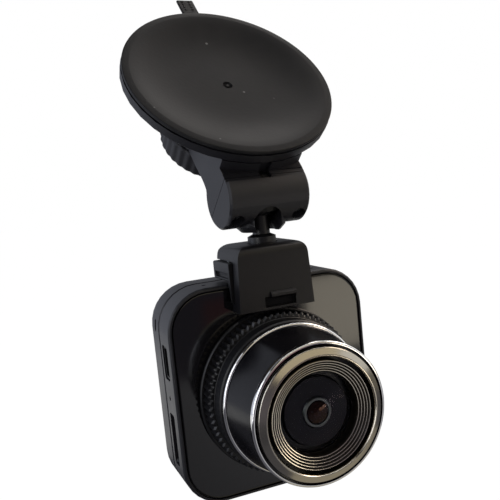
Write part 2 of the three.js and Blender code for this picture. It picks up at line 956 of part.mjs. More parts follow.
function irisRing() {
  const low = cell_floor + seat_gap;
  return turnedLens([
    [inner_glass_r + seat_gap, low],
    [iris_ring_r, low],
    [iris_ring_r - seat_gap, low + iris_ring_thickness],
    [inner_glass_r + seat_gap, low + iris_ring_thickness],
    [inner_glass_r + seat_gap, low],
  ], mid_steps);
}

function innerLens() {
  return domedDisc(inner_glass_r, cell_floor + inner_glass_thickness / 2, inner_glass_thickness / 3,
    inner_glass_thickness, mid_steps, dome_rings);
}

function rearLensGroup() {
  const front = barrel_front - face_recess - cell_reach - seat_gap;
  return turnedLens([
    [0, front - rear_group_length],
    [cell_r, front - rear_group_length],
    [cell_r, front - seat_gap],
    [cell_r - seat_gap, front],
    [0, front],
  ], round_steps);
}

// inside the camera
function imageSensor() {
  const back = sensor_board_front - seat_gap;
  return boxSolid(
    [-sensor_width / 2, back - sensor_thickness, -lens_drop - sensor_height / 2],
    [sensor_width / 2, back, -lens_drop + sensor_height / 2],
  );
}

function sensorBoard() {
  return lofted(sensor_board_size / 2, sensor_board_size / 2, board_corner_r, [
    [sensor_board_front, 0],
    [sensor_board_front + board_thickness, 0],
  ], key_corner_steps).translate([0, 0, -lens_drop]);
}

function mainBoard() {
  const w = half_w - board_side_gap;
  const h = half_h - board_end_gap;
  const shape = new THREE.Shape();
  shape.moveTo(-w + board_corner_cut, -h);
  shape.lineTo(w - board_corner_cut, -h);
  shape.lineTo(w, -h + board_corner_cut);
  shape.lineTo(w, h - board_corner_cut);
  shape.lineTo(w - board_corner_cut, h);
  shape.lineTo(-w + board_corner_cut, h);
  shape.lineTo(-w, h - board_corner_cut);
  shape.lineTo(-w, -h + board_corner_cut);
  shape.closePath();
  const plate = alongY(shape, main_board_front, main_board_front + board_thickness,
    straight_steps);
  const spacer_back = main_board_front + board_thickness / 2;
  const spacer_x = sensor_board_size / 2 - board_post_r;
  const spacers = [-1, 1].map((side) => rod(
    board_post_r,
    [side * spacer_x, sensor_board_front + board_thickness + seat_gap, -lens_drop],
    [side * spacer_x, spacer_back, -lens_drop],
    pin_steps,
  ));
  return joinAll([plate, ...spacers]);
}

function batteryCell() {
  const front = cavity_front + seat_gap;
  return lofted(battery_width / 2, half_h - battery_end_gap, battery_round, [
    [front, seat_gap],
    [front + seat_gap, 0],
    [front + battery_thickness - seat_gap, 0],
    [front + battery_thickness, seat_gap],
  ]).translate([half_w - shell_wall - battery_side_gap - battery_width / 2, 0, battery_z]);
}

function speakerUnit() {
  const front = cavity_front + seat_gap;
  return rod(speaker_r, [speaker_x, front, speaker_z], [speaker_x, front + speaker_thickness, speaker_z],
    round_steps);
}

function microphoneUnit() {
  const top = half_h - shell_wall - seat_gap;
  return rod(microphone_r, [microphone_x, microphone_y + microphone_r / 4, top - microphone_length],
    [microphone_x, microphone_y + microphone_r / 4, top], pin_steps);
}

function inletShell() {
  const x0 = -half_w + seat_gap;
  const outer = sideBox(inlet_width, inlet_height, x0, x0 + inlet_depth);
  const inner = sideBox(inlet_width - 2 * inlet_wall, inlet_height - 2 * inlet_wall, x0 - overrun,
    x0 + inlet_depth - inlet_wall);
  return outer.subtract(inner).translate([0, port_y, inlet_z]);
}

function sideBox(width, height, x0, x1) {
  const shape = roundedShape(width / 2, height / 2, Math.min(width, height) / 5);
  return alongX(shape, x0, x1, key_corner_steps);
}

function inletTongue() {
  const x0 = -half_w + seat_gap;
  const back = x0 + inlet_depth - inlet_wall - seat_gap;
  const tongue = boxSolid(
    [x0 + inlet_depth / 5, port_y - inlet_tongue_thickness / 2, inlet_z - inlet_tongue_height / 2],
    [back, port_y + inlet_tongue_thickness / 2, inlet_z + inlet_tongue_height / 2],
  );
  const root_width = inlet_width / 2 - inlet_wall - seat_gap;
  const root = boxSolid(
    [back - inlet_tongue_thickness, port_y - root_width, inlet_z - inlet_tongue_height / 2],
    [back, port_y + root_width, inlet_z + inlet_tongue_height / 2],
  );
  return tongue.add(root);
}

const card_x0 = -half_w + card_recess;

function memoryCard() {
  const y0 = port_y - card_thickness / 2;
  const low = card_z - card_height / 2;
  const high = card_z + card_height / 2;
  const shape = new THREE.Shape();
  shape.moveTo(card_x0, low);
  shape.lineTo(card_x0 + card_length, low);
  shape.lineTo(card_x0 + card_length, high - card_corner_cut);
  shape.lineTo(card_x0 + card_length - card_corner_cut, high);
  shape.lineTo(card_x0, high);
  shape.closePath();
  return alongY(shape, y0, y0 + card_thickness, straight_steps);
}

// The card socket is a folded sleeve, open toward the side wall.
function cardSocket() {
  const x0 = -half_w + shell_wall + seat_gap;
  const x1 = card_x0 + card_length + card_push + slide_gap + socket_wall;
  const half_t = card_thickness / 2 + slide_gap;
  const half_c = card_height / 2 + slide_gap;
  const outer = boxSolid(
    [x0, port_y - half_t - socket_wall, card_z - half_c - socket_wall],
    [x1, port_y + half_t + socket_wall, card_z + half_c + socket_wall],
  );
  const inner = boxSolid(
    [x0 - overrun, port_y - half_t, card_z - half_c],
    [x1 - socket_wall, port_y + half_t, card_z + half_c],
  );
  return outer.subtract(inner);
}

const reset_x0 = -half_w + shell_wall + seat_gap;

function resetSwitch() {
  const half = reset_box_size / 2;
  const x0 = reset_x0 + reset_travel + slide_gap;
  const box = boxSolid(
    [x0, port_y - half, reset_z - half],
    [x0 + reset_box_depth, port_y + half, reset_z + half],
  );
  const well = rod(reset_button_r + slide_gap, [x0 - overrun, port_y, reset_z],
    [x0 + reset_box_depth / 2 + reset_travel, port_y, reset_z], pin_steps);
  return box.subtract(well);
}

function resetButton() {
  const x0 = reset_x0;
  const tip = reset_x0 + reset_travel + slide_gap + reset_box_depth / 2 - slide_gap;
  return rod(reset_button_r, [x0, port_y, reset_z], [tip, port_y, reset_z], pin_steps);
}

function displayPanel() {
  const back = body_depth - window_thickness - seat_gap;
  const half_display_w = (window_width - display_border) / 2;
  const half_display_h = (window_height - display_border) / 2;
  return lofted(half_display_w, half_display_h, board_corner_r, [
    [back - display_thickness, 0],
    [back, 0],
  ]);
}

function displayWindow() {
  return lofted(window_width / 2, window_height / 2, window_corner_r, [
    [body_depth - window_thickness, 0],
    [body_depth - seat_gap, 0],
    [body_depth, seat_gap],
  ]);
}

// A key: cap through the wall, a flange behind it and a short stem toward its switch.
function keyCap() {
  const wall_back = body_depth - shell_wall;
  const flange_back = wall_back - slide_gap;
  const flange_front = flange_back - key_flange_thickness;
  const corner = key_width / 2 * 0.98;
  const cap = lofted(key_width / 2, key_height / 2, corner, [
    [flange_front, 0],
    [body_depth + key_proud - seat_gap, 0],
    [body_depth + key_proud, seat_gap],
  ], key_corner_steps);
  const flange = lofted(key_width / 2 + key_flange, key_height / 2 + key_flange, corner + key_flange, [
    [flange_front, 0],
    [flange_back, 0],
  ], key_corner_steps);
  const stem = rod(key_stem_r, [0, flange_front - key_stem_r, 0], [0, flange_back, 0], pin_steps);
  return joinAll([cap, flange, stem]);
}

const key_stem_tip = body_depth - shell_wall - slide_gap - key_flange_thickness - key_stem_r;

function keyBoard(side, reach) {
  const front = main_board_front + board_thickness + seat_gap;
  const back = key_stem_tip - key_travel - slide_gap;
  const outer_x = half_w - shell_wall - seat_gap;
  return lofted(key_board_width / 2, reach + key_board_margin, board_corner_r, [
    [front, 0],
    [back, 0],
  ], key_corner_steps).translate([side * (outer_x - key_board_width / 2), 0, 0]);
}

function housingScrew([x, z]) {
  const solid = screwSolid(screw_head_r, screw_head_height, screw_shank_r, screw_length);
  return solid.rotate([-90, 0, 0]).translate([x, screw_head_y, z]);
}

// rail and shoe
const rail_foot_z = half_h + seat_gap;
const rail_back = body_depth - rail_back_gap;
const rail_head_z = rail_foot_z + rail_neck_height;
const rail_top_z = rail_head_z + rail_head_height;
const shoe_floor_z = half_h + seat_gap;
const shoe_bottom_z = flange_r - lens_drop + shoe_lens_gap;
const shoe_top_z = half_h + shoe_rise;
const pull_recess_z = shoe_bottom_z + pull_recess_rise;
const ball_z = shoe_top_z + ball_rise;

function mountRail() {
  const neck = boxSolid(
    [-rail_neck_width / 2, rail_front, rail_foot_z],
    [rail_neck_width / 2, rail_back, rail_head_z + rail_head_height / 2],
  );
  const head = boxSolid(
    [-rail_head_width / 2, rail_front, rail_head_z],
    [rail_head_width / 2, rail_back, rail_top_z],
  );
  const notch = boxSolid(
    [-rail_head_width / 2 - overrun, rail_notch_y, rail_head_z - overrun / 4],
    [-rail_head_width / 2 + rail_notch_depth, rail_notch_y + rail_notch_width, rail_top_z + overrun],
  );
  return neck.add(head).subtract(notch);
}

function shoeOutline() {
  const shape = new THREE.Shape();
  const bottom = shoe_width / 2;
  const top = shoe_top_width / 2;
  const r = shoe_corner_r;
  shape.moveTo(-bottom, shoe_bottom_z);
  shape.lineTo(bottom, shoe_bottom_z);
  shape.lineTo(top + r * 0.08, shoe_top_z - r);
  shape.quadraticCurveTo(top, shoe_top_z, top - r, shoe_top_z);
  shape.lineTo(-top + r, shoe_top_z);
  shape.quadraticCurveTo(-top, shoe_top_z, -top - r * 0.08, shoe_top_z - r);
  shape.closePath();
  return shape;
}

// The side view: front wall hanging before the panel, roof over the rail, rounded brow.
function shoeSide() {
  const shape = new THREE.Shape();
  const r = shoe_brow_r;
  shape.moveTo(-shoe_front, shoe_bottom_z);
  shape.lineTo(-seat_gap, shoe_bottom_z);
  shape.lineTo(-seat_gap, shoe_floor_z);
  shape.lineTo(shoe_back, shoe_floor_z);
  shape.lineTo(shoe_back, shoe_top_z - shoe_back_round);
  shape.lineTo(shoe_back - shoe_back_round, shoe_top_z);
  shape.lineTo(-shoe_front + r, shoe_top_z);
  shape.quadraticCurveTo(-shoe_front, shoe_top_z, -shoe_front, shoe_top_z - r);
  shape.closePath();
  return shape;
}

const latch_z0 = shoe_floor_z + latch_bottom;
const latch_z1 = latch_z0 + latch_height;
const latch_x1 = -shoe_width / 2 + latch_thickness - latch_proud;
const latch_x0 = latch_x1 - latch_thickness;
const latch_pin_x = latch_x1 - latch_pin_inset;
const latch_tail_z = latch_z0 - latch_tail_drop;
const spring_coil_r = latch_spring_r + latch_spring_wire / 2;
const latch_spring_x = latch_x1 + latch_swing_gap - slide_gap;
const latch_spring_y = latch_front_y + spring_coil_r + slide_gap;
const latch_spring_z = (latch_z0 + latch_z1) / 2;
const stud_head_z = rail_top_z + 2 * slide_gap + stud_screw_head_height;

function mountShoe() {
  const front_view = alongY(shoeOutline(), -shoe_front - overrun, shoe_back + overrun, curve_steps);
  const side_view = alongX(shoeSide(), -shoe_width, shoe_width, curve_steps);
  const block = front_view.intersect(side_view);
  const gap = slide_gap;
  const channel_neck = boxSolid(
    [-rail_neck_width / 2 - gap, rail_front - seat_gap, shoe_floor_z - overrun],
    [rail_neck_width / 2 + gap, shoe_back + overrun, rail_head_z + gap],
  );
  const channel_head = boxSolid(
    [-rail_head_width / 2 - gap, rail_front - seat_gap, rail_head_z - gap],
    [rail_head_width / 2 + gap, shoe_back + overrun, rail_top_z + gap],
  );
  const latch_pocket = boxSolid(
    [-shoe_width, latch_front_y - seat_gap, shoe_floor_z],
    [latch_x1 + latch_swing_gap, shoe_back + overrun, latch_z1 + gap],
  );
  const nose_way = boxSolid(
    [latch_x1, rail_notch_y - latch_nose_width / 2, rail_head_z - gap],
    [-rail_head_width / 2, rail_notch_y + rail_notch_width + latch_nose_width / 2, latch_z1 + gap],
  );
  const tail_pocket = boxSolid(
    [-shoe_width, latch_front_y - seat_gap, latch_tail_z - gap],
    [latch_x1 + latch_swing_gap, shoe_back, latch_z0 + gap],
  );
  const pin_hole = rod(latch_pin_r + slide_gap / 2, [latch_pin_x, latch_pivot_y, latch_z1 - gap],
    [latch_pin_x, latch_pivot_y, latch_z1 + latch_pin_sink], pin_steps);
  const spring_well = rod(spring_coil_r + gap, [latch_x1, latch_spring_y, latch_spring_z],
    [latch_spring_x + latch_spring_length + seat_gap, latch_spring_y, latch_spring_z], mid_steps);
  const stem_hole = rod(stem_r + gap, [0, ball_y, shoe_top_z - stem_sink],
    [0, ball_y, shoe_top_z + overrun], mid_steps);
  const screw_hole = rod(stud_screw_r + gap, [0, ball_y, rail_top_z - gap],
    [0, ball_y, shoe_top_z], pin_steps);
  const screw_sink = rod(stud_screw_head_r + gap, [0, ball_y, shoe_floor_z],
    [0, ball_y, stud_head_z + seat_gap], mid_steps);
  const recess_right = pull_recess_x + pull_recess_width / 2;
  const recess_top = pull_recess_z + pull_recess_height / 2;
  const recess = boxSolid(
    [pull_recess_x - pull_recess_width / 2, -shoe_front - overrun, pull_recess_z - pull_recess_height / 2],
    [recess_right, -shoe_front + pull_recess_depth, recess_top],
  );
  const bar_view = new THREE.Shape();
  const bar_y = -shoe_front - pull_bar_proud;
  bar_view.moveTo(-shoe_front + pull_recess_depth + seat_gap, recess_top - pull_bar_round);
  bar_view.lineTo(bar_y + pull_bar_round, recess_top - pull_bar_round);
  bar_view.lineTo(bar_y, recess_top);
  bar_view.lineTo(bar_y, recess_top + pull_bar_height - pull_bar_round * 2);
  bar_view.lineTo(bar_y + pull_bar_round, recess_top + pull_bar_height - pull_bar_round);
  bar_view.lineTo(-shoe_front + pull_recess_depth + seat_gap, recess_top + pull_bar_height - pull_bar_round);
  bar_view.closePath();
  const bar = alongX(bar_view, recess_right - pull_bar_width, recess_right, straight_steps);
  const cut = cutAll(block, [channel_neck, channel_head, latch_pocket, tail_pocket, nose_way, pin_hole,
    spring_well, stem_hole, screw_hole, screw_sink, recess]);
  return cut.add(bar);
}

// The release latch rocks on an upright pin: its front is pressed in and its nose swings out.
function releaseLatch() {
  const round = latch_round;
  const view = new THREE.Shape();
  view.moveTo(latch_front_y, latch_tail_z);
  view.lineTo(latch_front_y + latch_tail_tip, latch_tail_z);
  view.lineTo(latch_front_y + latch_tail_width, latch_z0);
  view.lineTo(latch_back - round, latch_z0);
  view.lineTo(latch_back, latch_z0 + round);
  view.lineTo(latch_back, latch_z1 - round);
  view.lineTo(latch_back - round, latch_z1);
  view.lineTo(latch_front_y, latch_z1);
  view.closePath();
  const plate = alongX(view, latch_x0, latch_x1, straight_steps);
  const thumb = boxSolid(
    [latch_x0 - overrun, latch_front_y + 2 * round, latch_z0 + round],
    [latch_x0 + latch_thumb_depth, latch_back - 2 * round, latch_z0 + round + latch_thumb_height],
  );
  const nose_y = rail_notch_y + rail_notch_width / 2;
  const nose = boxSolid(
    [latch_x1 - round, nose_y - latch_nose_width / 2, rail_head_z],
    [-rail_head_width / 2 - seat_gap, nose_y + latch_nose_width / 2, rail_top_z],
  );
  const pin_hole = rod(latch_pin_r + slide_gap / 2, [latch_pin_x, latch_pivot_y, latch_z0 - overrun],
    [latch_pin_x, latch_pivot_y, latch_z1 + overrun], pin_steps);
  return plate.subtract(thumb).add(nose).subtract(pin_hole);
}

function latchPin() {
  return rod(latch_pin_r, [latch_pin_x, latch_pivot_y, latch_z0],
    [latch_pin_x, latch_pivot_y, latch_z1 + latch_pin_sink - seat_gap], pin_steps);
}

function latchSpring() {
  const spring = coil(latch_spring_r, latch_spring_wire, latch_spring_length, latch_spring_turns);
  return spring.rotate([0, 90, 0]).translate([latch_spring_x, latch_spring_y, latch_spring_z]);
}

// Ball stud: a turned foot, a slim neck and the ball, tapped underneath.
function ballStud() {
  const foot = shoe_top_z - stem_sink + seat_gap;
  const stem = turnedZ([
    [0, foot],
    [stem_r, foot],
    [stem_r, ball_z - neck_reach - neck_flare],
    [neck_r, ball_z - neck_reach],
    [neck_r, ball_z - ball_r / 2],
    [0, ball_z - ball_r / 2],
  ], mid_steps).translate([0, ball_y, 0]);
  const ball = new THREE.SphereGeometry(ball_r, mid_steps, ball_rings);
  ball.rotateX(Math.PI / 2);
  ball.translate(0, ball_y, ball_z);
  const bore = rod(stud_screw_r + slide_gap / 2, [0, ball_y, foot - overrun],
    [0, ball_y, foot + stud_screw_length], pin_steps);
  return stem.add(toSolid(ball)).subtract(bore);
}

function studScrew() {
  const reach = shoe_top_z - stem_sink - stud_head_z + stud_screw_length + stud_screw_head_height;
  const solid = screwSolid(stud_screw_head_r, stud_screw_head_height, stud_screw_r, reach - seat_gap);
  return solid.rotate([180, 0, 0]).translate([0, ball_y, stud_head_z - stud_screw_head_height]);
}

// A seat for the ball: a slice of a thin sphere between two polar angles, measured from +Z.
function ballSeat(from_deg, to_deg, rings = 3) {
  const inner = ball_r + ball_gap;
  const outer = inner + liner_thickness;
  const profile = [];
  for (let i = 0; i <= rings; i += 1) {
    const a = THREE.MathUtils.degToRad(from_deg + (to_deg - from_deg) * i / rings);
    profile.push([inner * Math.sin(a), inner * Math.cos(a)]);
  }
  for (let i = rings; i >= 0; i -= 1) {
    const a = THREE.MathUtils.degToRad(from_deg + (to_deg - from_deg) * i / rings);
    profile.push([outer * Math.sin(a), outer * Math.cos(a)]);
  }
  if (from_deg > 0) {
    profile.push(profile[0]);
  }
  return turnedZ(profile, mid_steps).translate([0, ball_y, ball_z]);
}

// Arm and clamp, drawn in the cup's frame: x across, y up the face, z out of the face.
const socket_r = ball_r + 2 * ball_gap + liner_thickness;
const rim_front = -cup_lip - seat_gap;
const rim_back = rim_front - shell_rim_depth;
const barrel_drop = shell_rim_r + barrel_rim_gap;
const tilt = THREE.MathUtils.degToRad(90 - cup_face_rise_deg);
const turn = THREE.MathUtils.degToRad(mount_turn_deg);
const cup_turn = new THREE.Matrix4().makeRotationZ(turn).multiply(
  new THREE.Matrix4().makeRotationX(tilt),
);
const ball_local = new THREE.Vector3(0, -barrel_drop, -barrel_depth);

// A direction in the upright plane, given as an angle forward from straight down.
function hangDirection(forward_deg) {
  const angle = THREE.MathUtils.degToRad(forward_deg);
  const world = new THREE.Vector3(0, -Math.sin(angle), -Math.cos(angle));
  return world.applyMatrix4(cup_turn.clone().invert());
}

function localPoint(forward_deg, distance) {
  return ball_local.clone().addScaledVector(hangDirection(forward_deg), distance).toArray();
}

function clampBarrel() {
  const half = arm_width / 2;
  const [, y, z] = ball_local.toArray();
  const r = barrel_half_r;
  const round = arm_end_round;
  const profile = [[0, -half], [r - round, -half], [r, -half + round], [r, half - round],
    [r - round, half], [0, half]];
  const barrel = turnedZ(profile, fine_steps).rotate([0, 90, 0]).translate([0, y, z]);
  const boss = hanging([
    [0, 0],
    [collar_boss_r, 0],
    [collar_boss_r, r],
    [collar_tip_r, collar_boss_drop],
    [0, collar_boss_drop],
  ]);
  return barrel.add(boss);
}

// A turned piece about the stem's straight-down line, its profile measured from the ball's centre.
function hanging(profile) {
  const aim = new THREE.Matrix4().makeRotationFromQuaternion(
    new THREE.Quaternion().setFromUnitVectors(new THREE.Vector3(0, 0, 1), hangDirection(0)),
  );
  aim.setPosition(ball_local);
  return turnedZ(profile, mid_steps).transform(aim.elements);
}

// The ball's cavity with its mouth below and the slot that lets the stem swing forward.
function clampHollow() {
  const ball = new THREE.SphereGeometry(socket_r, mid_steps, ball_rings);
  ball.translate(...ball_local.toArray());
  const reach = collar_boss_drop + collar_boss_r;
  const mouth = hanging([
    [0, 0],
    [stem_slot_half, 0],
    [stem_slot_half, ball_r],
    [stem_mouth_r, collar_boss_drop],
    [stem_mouth_r, reach],
    [0, reach],
  ]);
  const far = rod(slot_end_r, localPoint(stem_slot_deg, 0), localPoint(stem_slot_deg, reach),
    mid_steps);
  const swept = new THREE.Shape();
  const steps = 8;
  const [, y0, z0] = ball_local.toArray();
  swept.moveTo(y0, z0);
  for (let i = 0; i <= steps; i += 1) {
    const [, y, z] = localPoint(stem_slot_deg * i / steps, reach);
    swept.lineTo(y, z);
  }
  swept.closePath();
  const slot = alongX(swept, -stem_slot_half, stem_slot_half, straight_steps);
  return joinAll([toSolid(ball), mouth, far, slot]);
}

function splitBox(side) {
  const near = -barrel_drop + side * clamp_split_gap / 2;
  const reach = cup_r * 2;
  const low = Math.min(near, near + side * reach);
  const high = Math.max(near, near + side * reach);
  return boxSolid([-reach, low, -reach], [reach, high, reach]);
}

// A shallow step across the front of the joint line, and a notch up through the arm's apron.
function clampLedge() {
  const front = -barrel_depth + barrel_half_r;
  const y = -barrel_drop;
  const band = boxSolid(
    [-arm_width, y - clamp_ledge_height, front - clamp_ledge_depth],
    [arm_width, y + clamp_ledge_height, front + overrun],
  );
  const notch = boxSolid(
    [-front_notch_width / 2, y - clamp_ledge_height, -arm_front - front_notch_depth],
    [front_notch_width / 2, front_notch_depth - shell_rim_r, rim_back],
  );
  return band.add(notch);
}

function clampScrewHoles() {
  const head_y = -barrel_drop - barrel_half_r + clamp_screw_sink;
  return joinAll([-1, 1].map((side) => {
    const x = side * clamp_screw_x;
    const z = -barrel_depth;
    const sink = rod(clamp_screw_head_r + slide_gap, [x, head_y, z],
      [x, head_y - clamp_screw_sink - barrel_half_r, z], small_steps);
    const hole = rod(clamp_screw_r + slide_gap, [x, head_y - overrun, z],
      [x, head_y + clamp_screw_length, z], pin_steps);
    return sink.add(hole);
  }));
}

function ballClamp() {
  return clampBarrel()
    .intersect(splitBox(-1))
    .subtract(clampHollow())
    .subtract(clampScrewHoles())
    .subtract(clampLedge());
}

function clampScrew(side) {
  const seat_y = -barrel_drop - barrel_half_r + clamp_screw_sink;
  const solid = screwSolid(clamp_screw_head_r, clamp_screw_head_height, clamp_screw_r,
    clamp_screw_length);
  return solid.rotate([90, 0, 0]).translate([
    side * clamp_screw_x,
    seat_y - seat_gap - clamp_screw_head_height,
    -barrel_depth,
  ]);
}

// The housing is one moulding: rim shell behind the rubber, hub, arm, and half of the clamp.
function armHousing() {
  const rim_inner = shell_rim_r - shell_rim_wall;
  const shell = turnedZ([
    [0, -shell_back],
    [shell_shoulder_r, -shell_back],
    [shell_rim_r - seat_gap, rim_back],
    [shell_rim_r, rim_back + seat_gap],
    [shell_rim_r, rim_front],
    [rim_inner, rim_front],
    [rim_inner - shell_rim_wall, rim_back + seat_gap],
    [shell_cavity_r, -shell_cavity_back],
    [0, -shell_cavity_back],
  ], fine_steps);
  const hub = turnedZ([
    [0, -shell_cavity_back],
    [hub_r, -shell_cavity_back],
    [hub_r, -arm_back + seat_gap],
    [hub_r - seat_gap, -arm_back],
    [0, -arm_back],
  ], mid_steps);
  const apron_sector = turnedZ([
    [shell_rim_r - apron_wall, -arm_front - seat_gap],
    [shell_rim_r - seat_gap, -arm_front - seat_gap],
    [shell_rim_r, -arm_front],
    [shell_rim_r, rim_back],
    [shell_rim_r - apron_wall, rim_back],
    [shell_rim_r - apron_wall, -arm_front - seat_gap],
  ], fine_steps);
  const half = arm_width / 2;
  const apron = apron_sector.intersect(boxSolid([-half, -cup_r - overrun, -arm_back], [half, 0, 0]));
  const r = barrel_half_r;
  const drop = barrel_drop;
  const side = new THREE.Shape();
  side.moveTo(0, -arm_front);
  side.lineTo(-drop, -arm_front);
  side.lineTo(-drop, -barrel_depth - r * 0.85);
  side.lineTo(-drop + r * 0.5, -barrel_depth - r * 0.74);
  side.lineTo(-drop + r * 0.85, -barrel_depth - r * 0.45);
  side.quadraticCurveTo(-drop + r * 1.15, -arm_back + r * 0.08, -drop + r * 1.9, -arm_back);
  side.lineTo(0, -arm_back);
  side.closePath();
  const arm = alongX(side, -half, half, curve_steps);
  const half_barrel = clampBarrel().intersect(splitBox(1));
  const arm_upper = arm.intersect(splitBox(1));
  const well = rod(cup_boss_r + slide_gap * 3, [0, 0, -cup_well_back], [0, 0, overrun], mid_steps);
  const bore = rod(stem_rod_r + slide_gap, [0, 0, -arm_back - overrun], [0, 0, overrun],
    mid_steps);
  return cutAll(joinAll([shell, hub, arm_upper, apron, half_barrel]), [clampHollow(), clampScrewHoles(),
    clampLedge(), well, bore]);
}

const cup_boss_back = cup_dish + cup_thickness + cup_boss_depth;
const cup_well_back = cup_boss_back + rod_pull * 2 + cup_spring_wire * 2;
const head_front = cup_dish + cup_thickness + seat_gap;

// The rubber cup: flat sealing rim, shallow dish, a boss behind that grips the rod's head, and a tab.
function suctionCup() {
  const rim_in = cup_r - seat_gap - cup_rim_flat;
  const profile = [[0, -cup_dish - cup_dimple_depth], [cup_dimple_r * 0.6, -cup_dish - cup_dimple_depth],
    [cup_dimple_r, -cup_dish]];
  const steps = 4;
  for (let i = 1; i < steps; i += 1) {
    const share = i / steps;
    const r = cup_dimple_r + (rim_in - cup_dimple_r) * share;
    profile.push([r, -cup_dish * (1 - share ** 2.4)]);
  }
  profile.push([rim_in, 0], [cup_r - seat_gap, 0], [cup_r, -seat_gap], [cup_r, -cup_lip + seat_gap]);
  profile.push([cup_r - seat_gap, -cup_lip], [shell_rim_r - shell_rim_wall - seat_gap, -cup_lip]);
  profile.push([shell_cavity_r + seat_gap, -cup_dish - cup_thickness + cup_lip / 2]);
  profile.push([cup_boss_r, -cup_dish - cup_thickness], [cup_boss_r, -cup_boss_back]);
  profile.push([0, -cup_boss_back]);
  const disc = turnedZ(profile, fine_steps);
  const half = tab_width / 2;
  const tab_shape = new THREE.Shape();
  tab_shape.moveTo(-half - tab_flare, cup_r - cup_rim_flat / 2);
  tab_shape.quadraticCurveTo(-half, cup_r, -half, cup_r + tab_length / 3);
  tab_shape.lineTo(-half, cup_r + tab_length - tab_flare);
  tab_shape.lineTo(-half + tab_flare, cup_r + tab_length);
  tab_shape.lineTo(half - tab_flare, cup_r + tab_length);
  tab_shape.lineTo(half, cup_r + tab_length - tab_flare);
  tab_shape.lineTo(half, cup_r + tab_length / 3);
  tab_shape.quadraticCurveTo(half, cup_r, half + tab_flare, cup_r - cup_rim_flat / 2);
  tab_shape.closePath();
  const tab = toSolid(extruded(tab_shape, tab_thickness).translate(tab_x, 0, -cup_lip));
  const tab_low = tab.intersect(boxSolid([-cup_r, 0, -cup_lip], [cup_r, cup_r * 2, -seat_gap]));
  const head_room = rod(stem_head_r + slide_gap, [0, 0, -head_front + seat_gap],
    [0, 0, -cup_boss_back - overrun], mid_steps);
  return disc.add(tab_low).subtract(head_room);
}

const knob_front = -arm_back - seat_gap;
const knob_back = knob_front - knob_length;
const well_floor = knob_back + knob_well_depth;
const pin_z = well_floor - seat_gap - pin_r;

// The pull rod: a head in the rubber, a shaft through the hub and a cross pin behind the knob.
function pullRod() {
  const head_back = -head_front - stem_head_thickness;
  const tip = pin_z - pin_r * 2;
  const shaft = turnedZ([
    [0, tip],
    [stem_rod_r - seat_gap, tip],
    [stem_rod_r, tip + seat_gap],
    [stem_rod_r, head_back],
    [stem_head_r, head_back],
    [stem_head_r, -head_front],
    [0, -head_front],
  ], mid_steps);
  const pin_way = rod(pin_r + slide_gap / 2, [-knob_r, 0, pin_z], [knob_r, 0, pin_z],
    pin_steps);
  return shaft.subtract(pin_way);
}

function crossPin() {
  return rod(pin_r, [-pin_length / 2, 0, pin_z], [pin_length / 2, 0, pin_z], pin_steps);
}

// Two cam ramps in the knob's well lift the pin as the knob makes its quarter turn.
function camRamp(start_deg) {
  const inner = stem_rod_r + slide_gap * 2;
  const outer = knob_well_r + slide_gap;
  const base = well_floor + overrun / 4;
  const steps = 8;
  const lead_deg = 22;
  const rise_deg = 90;
  const land_deg = 28;
  const position = [];
  const index = [];
  for (let i = 0; i <= steps; i += 1) {
    const along = (rise_deg + land_deg) * i / steps;
    const angle = THREE.MathUtils.degToRad(start_deg - lead_deg - along);
    const rise = rod_pull * Math.min(along / rise_deg, 1);
    for (const [r, z] of [[inner, base], [outer, base], [outer, well_floor - rise],
      [inner, well_floor - rise]]) {
      position.push(r * Math.cos(angle), r * Math.sin(angle), z);
    }
  }
  for (let i = 0; i < steps; i += 1) {
    for (let k = 0; k < 4; k += 1) {
      const a = i * 4 + k;
      const b = i * 4 + (k + 1) % 4;
      index.push(a, b, b + 4, a, b + 4, a + 4);
    }
  }
  const last = steps * 4;
  index.push(0, 3, 2, 0, 2, 1, last, last + 1, last + 2, last, last + 2, last + 3);
  const geometry = new THREE.BufferGeometry();
  geometry.setAttribute('position', new THREE.BufferAttribute(new Float32Array(position), 3));
  geometry.setIndex(index);
  return toSolid(geometry);
}

function lockKnob() {
  const round = knob_round;
  const body = turnedZ([
    [0, knob_back],
    [knob_r - round * 1.2, knob_back],
    [knob_r, knob_back + round],
    [knob_r, knob_front - round * 0.5],
    [knob_r - round * 0.5, knob_front],
    [0, knob_front],
  ], fine_steps);
  const outline = new THREE.Shape();
  const pitch = Math.PI * 2 / knob_ribs;
  const rib = pitch * knob_rib_share / 2;
  for (let i = 0; i < knob_ribs; i += 1) {
    const middle = i * pitch;
    for (const [r, a] of [[knob_r, middle - rib], [knob_r, middle + rib],
      [knob_r - knob_rib_height, middle + pitch / 2]]) {
      if (outline.curves.length === 0 && i === 0 && a < middle) {
        outline.moveTo(r * Math.cos(a), r * Math.sin(a));
      } else {
        outline.lineTo(r * Math.cos(a), r * Math.sin(a));
      }
    }
  }
  outline.closePath();
  const ribbed = toSolid(extruded(outline, knob_length + 2 * overrun, straight_steps)
    .translate(0, 0, knob_back - overrun));
  const well = rod(knob_well_r, [0, 0, knob_back - overrun], [0, 0, well_floor], mid_steps);
  const bore = rod(stem_rod_r + slide_gap, [0, 0, knob_back - overrun], [0, 0, knob_front + overrun],
    mid_steps);
  const cut = cutAll(body.intersect(ribbed), [well, bore]);
  return joinAll([cut, camRamp(0), camRamp(180)]);
}

function cupSpring() {
  const back = -cup_well_back + seat_gap + cup_spring_wire / 2;
  const front = -cup_boss_back - seat_gap - cup_spring_wire / 2;
  return coil(cup_spring_r, cup_spring_wire, front - back, cup_spring_turns).translate([0, 0, back]);
}

// The camera side is placed so that its ball lies in the clamp; the cup's rim centre is the origin.
cup_frame.applyMatrix4(cup_turn);
const ball_world = ball_local.clone().applyMatrix4(cup_turn);
camera_frame.position.copy(ball_world).sub(new THREE.Vector3(0, ball_y, ball_z));

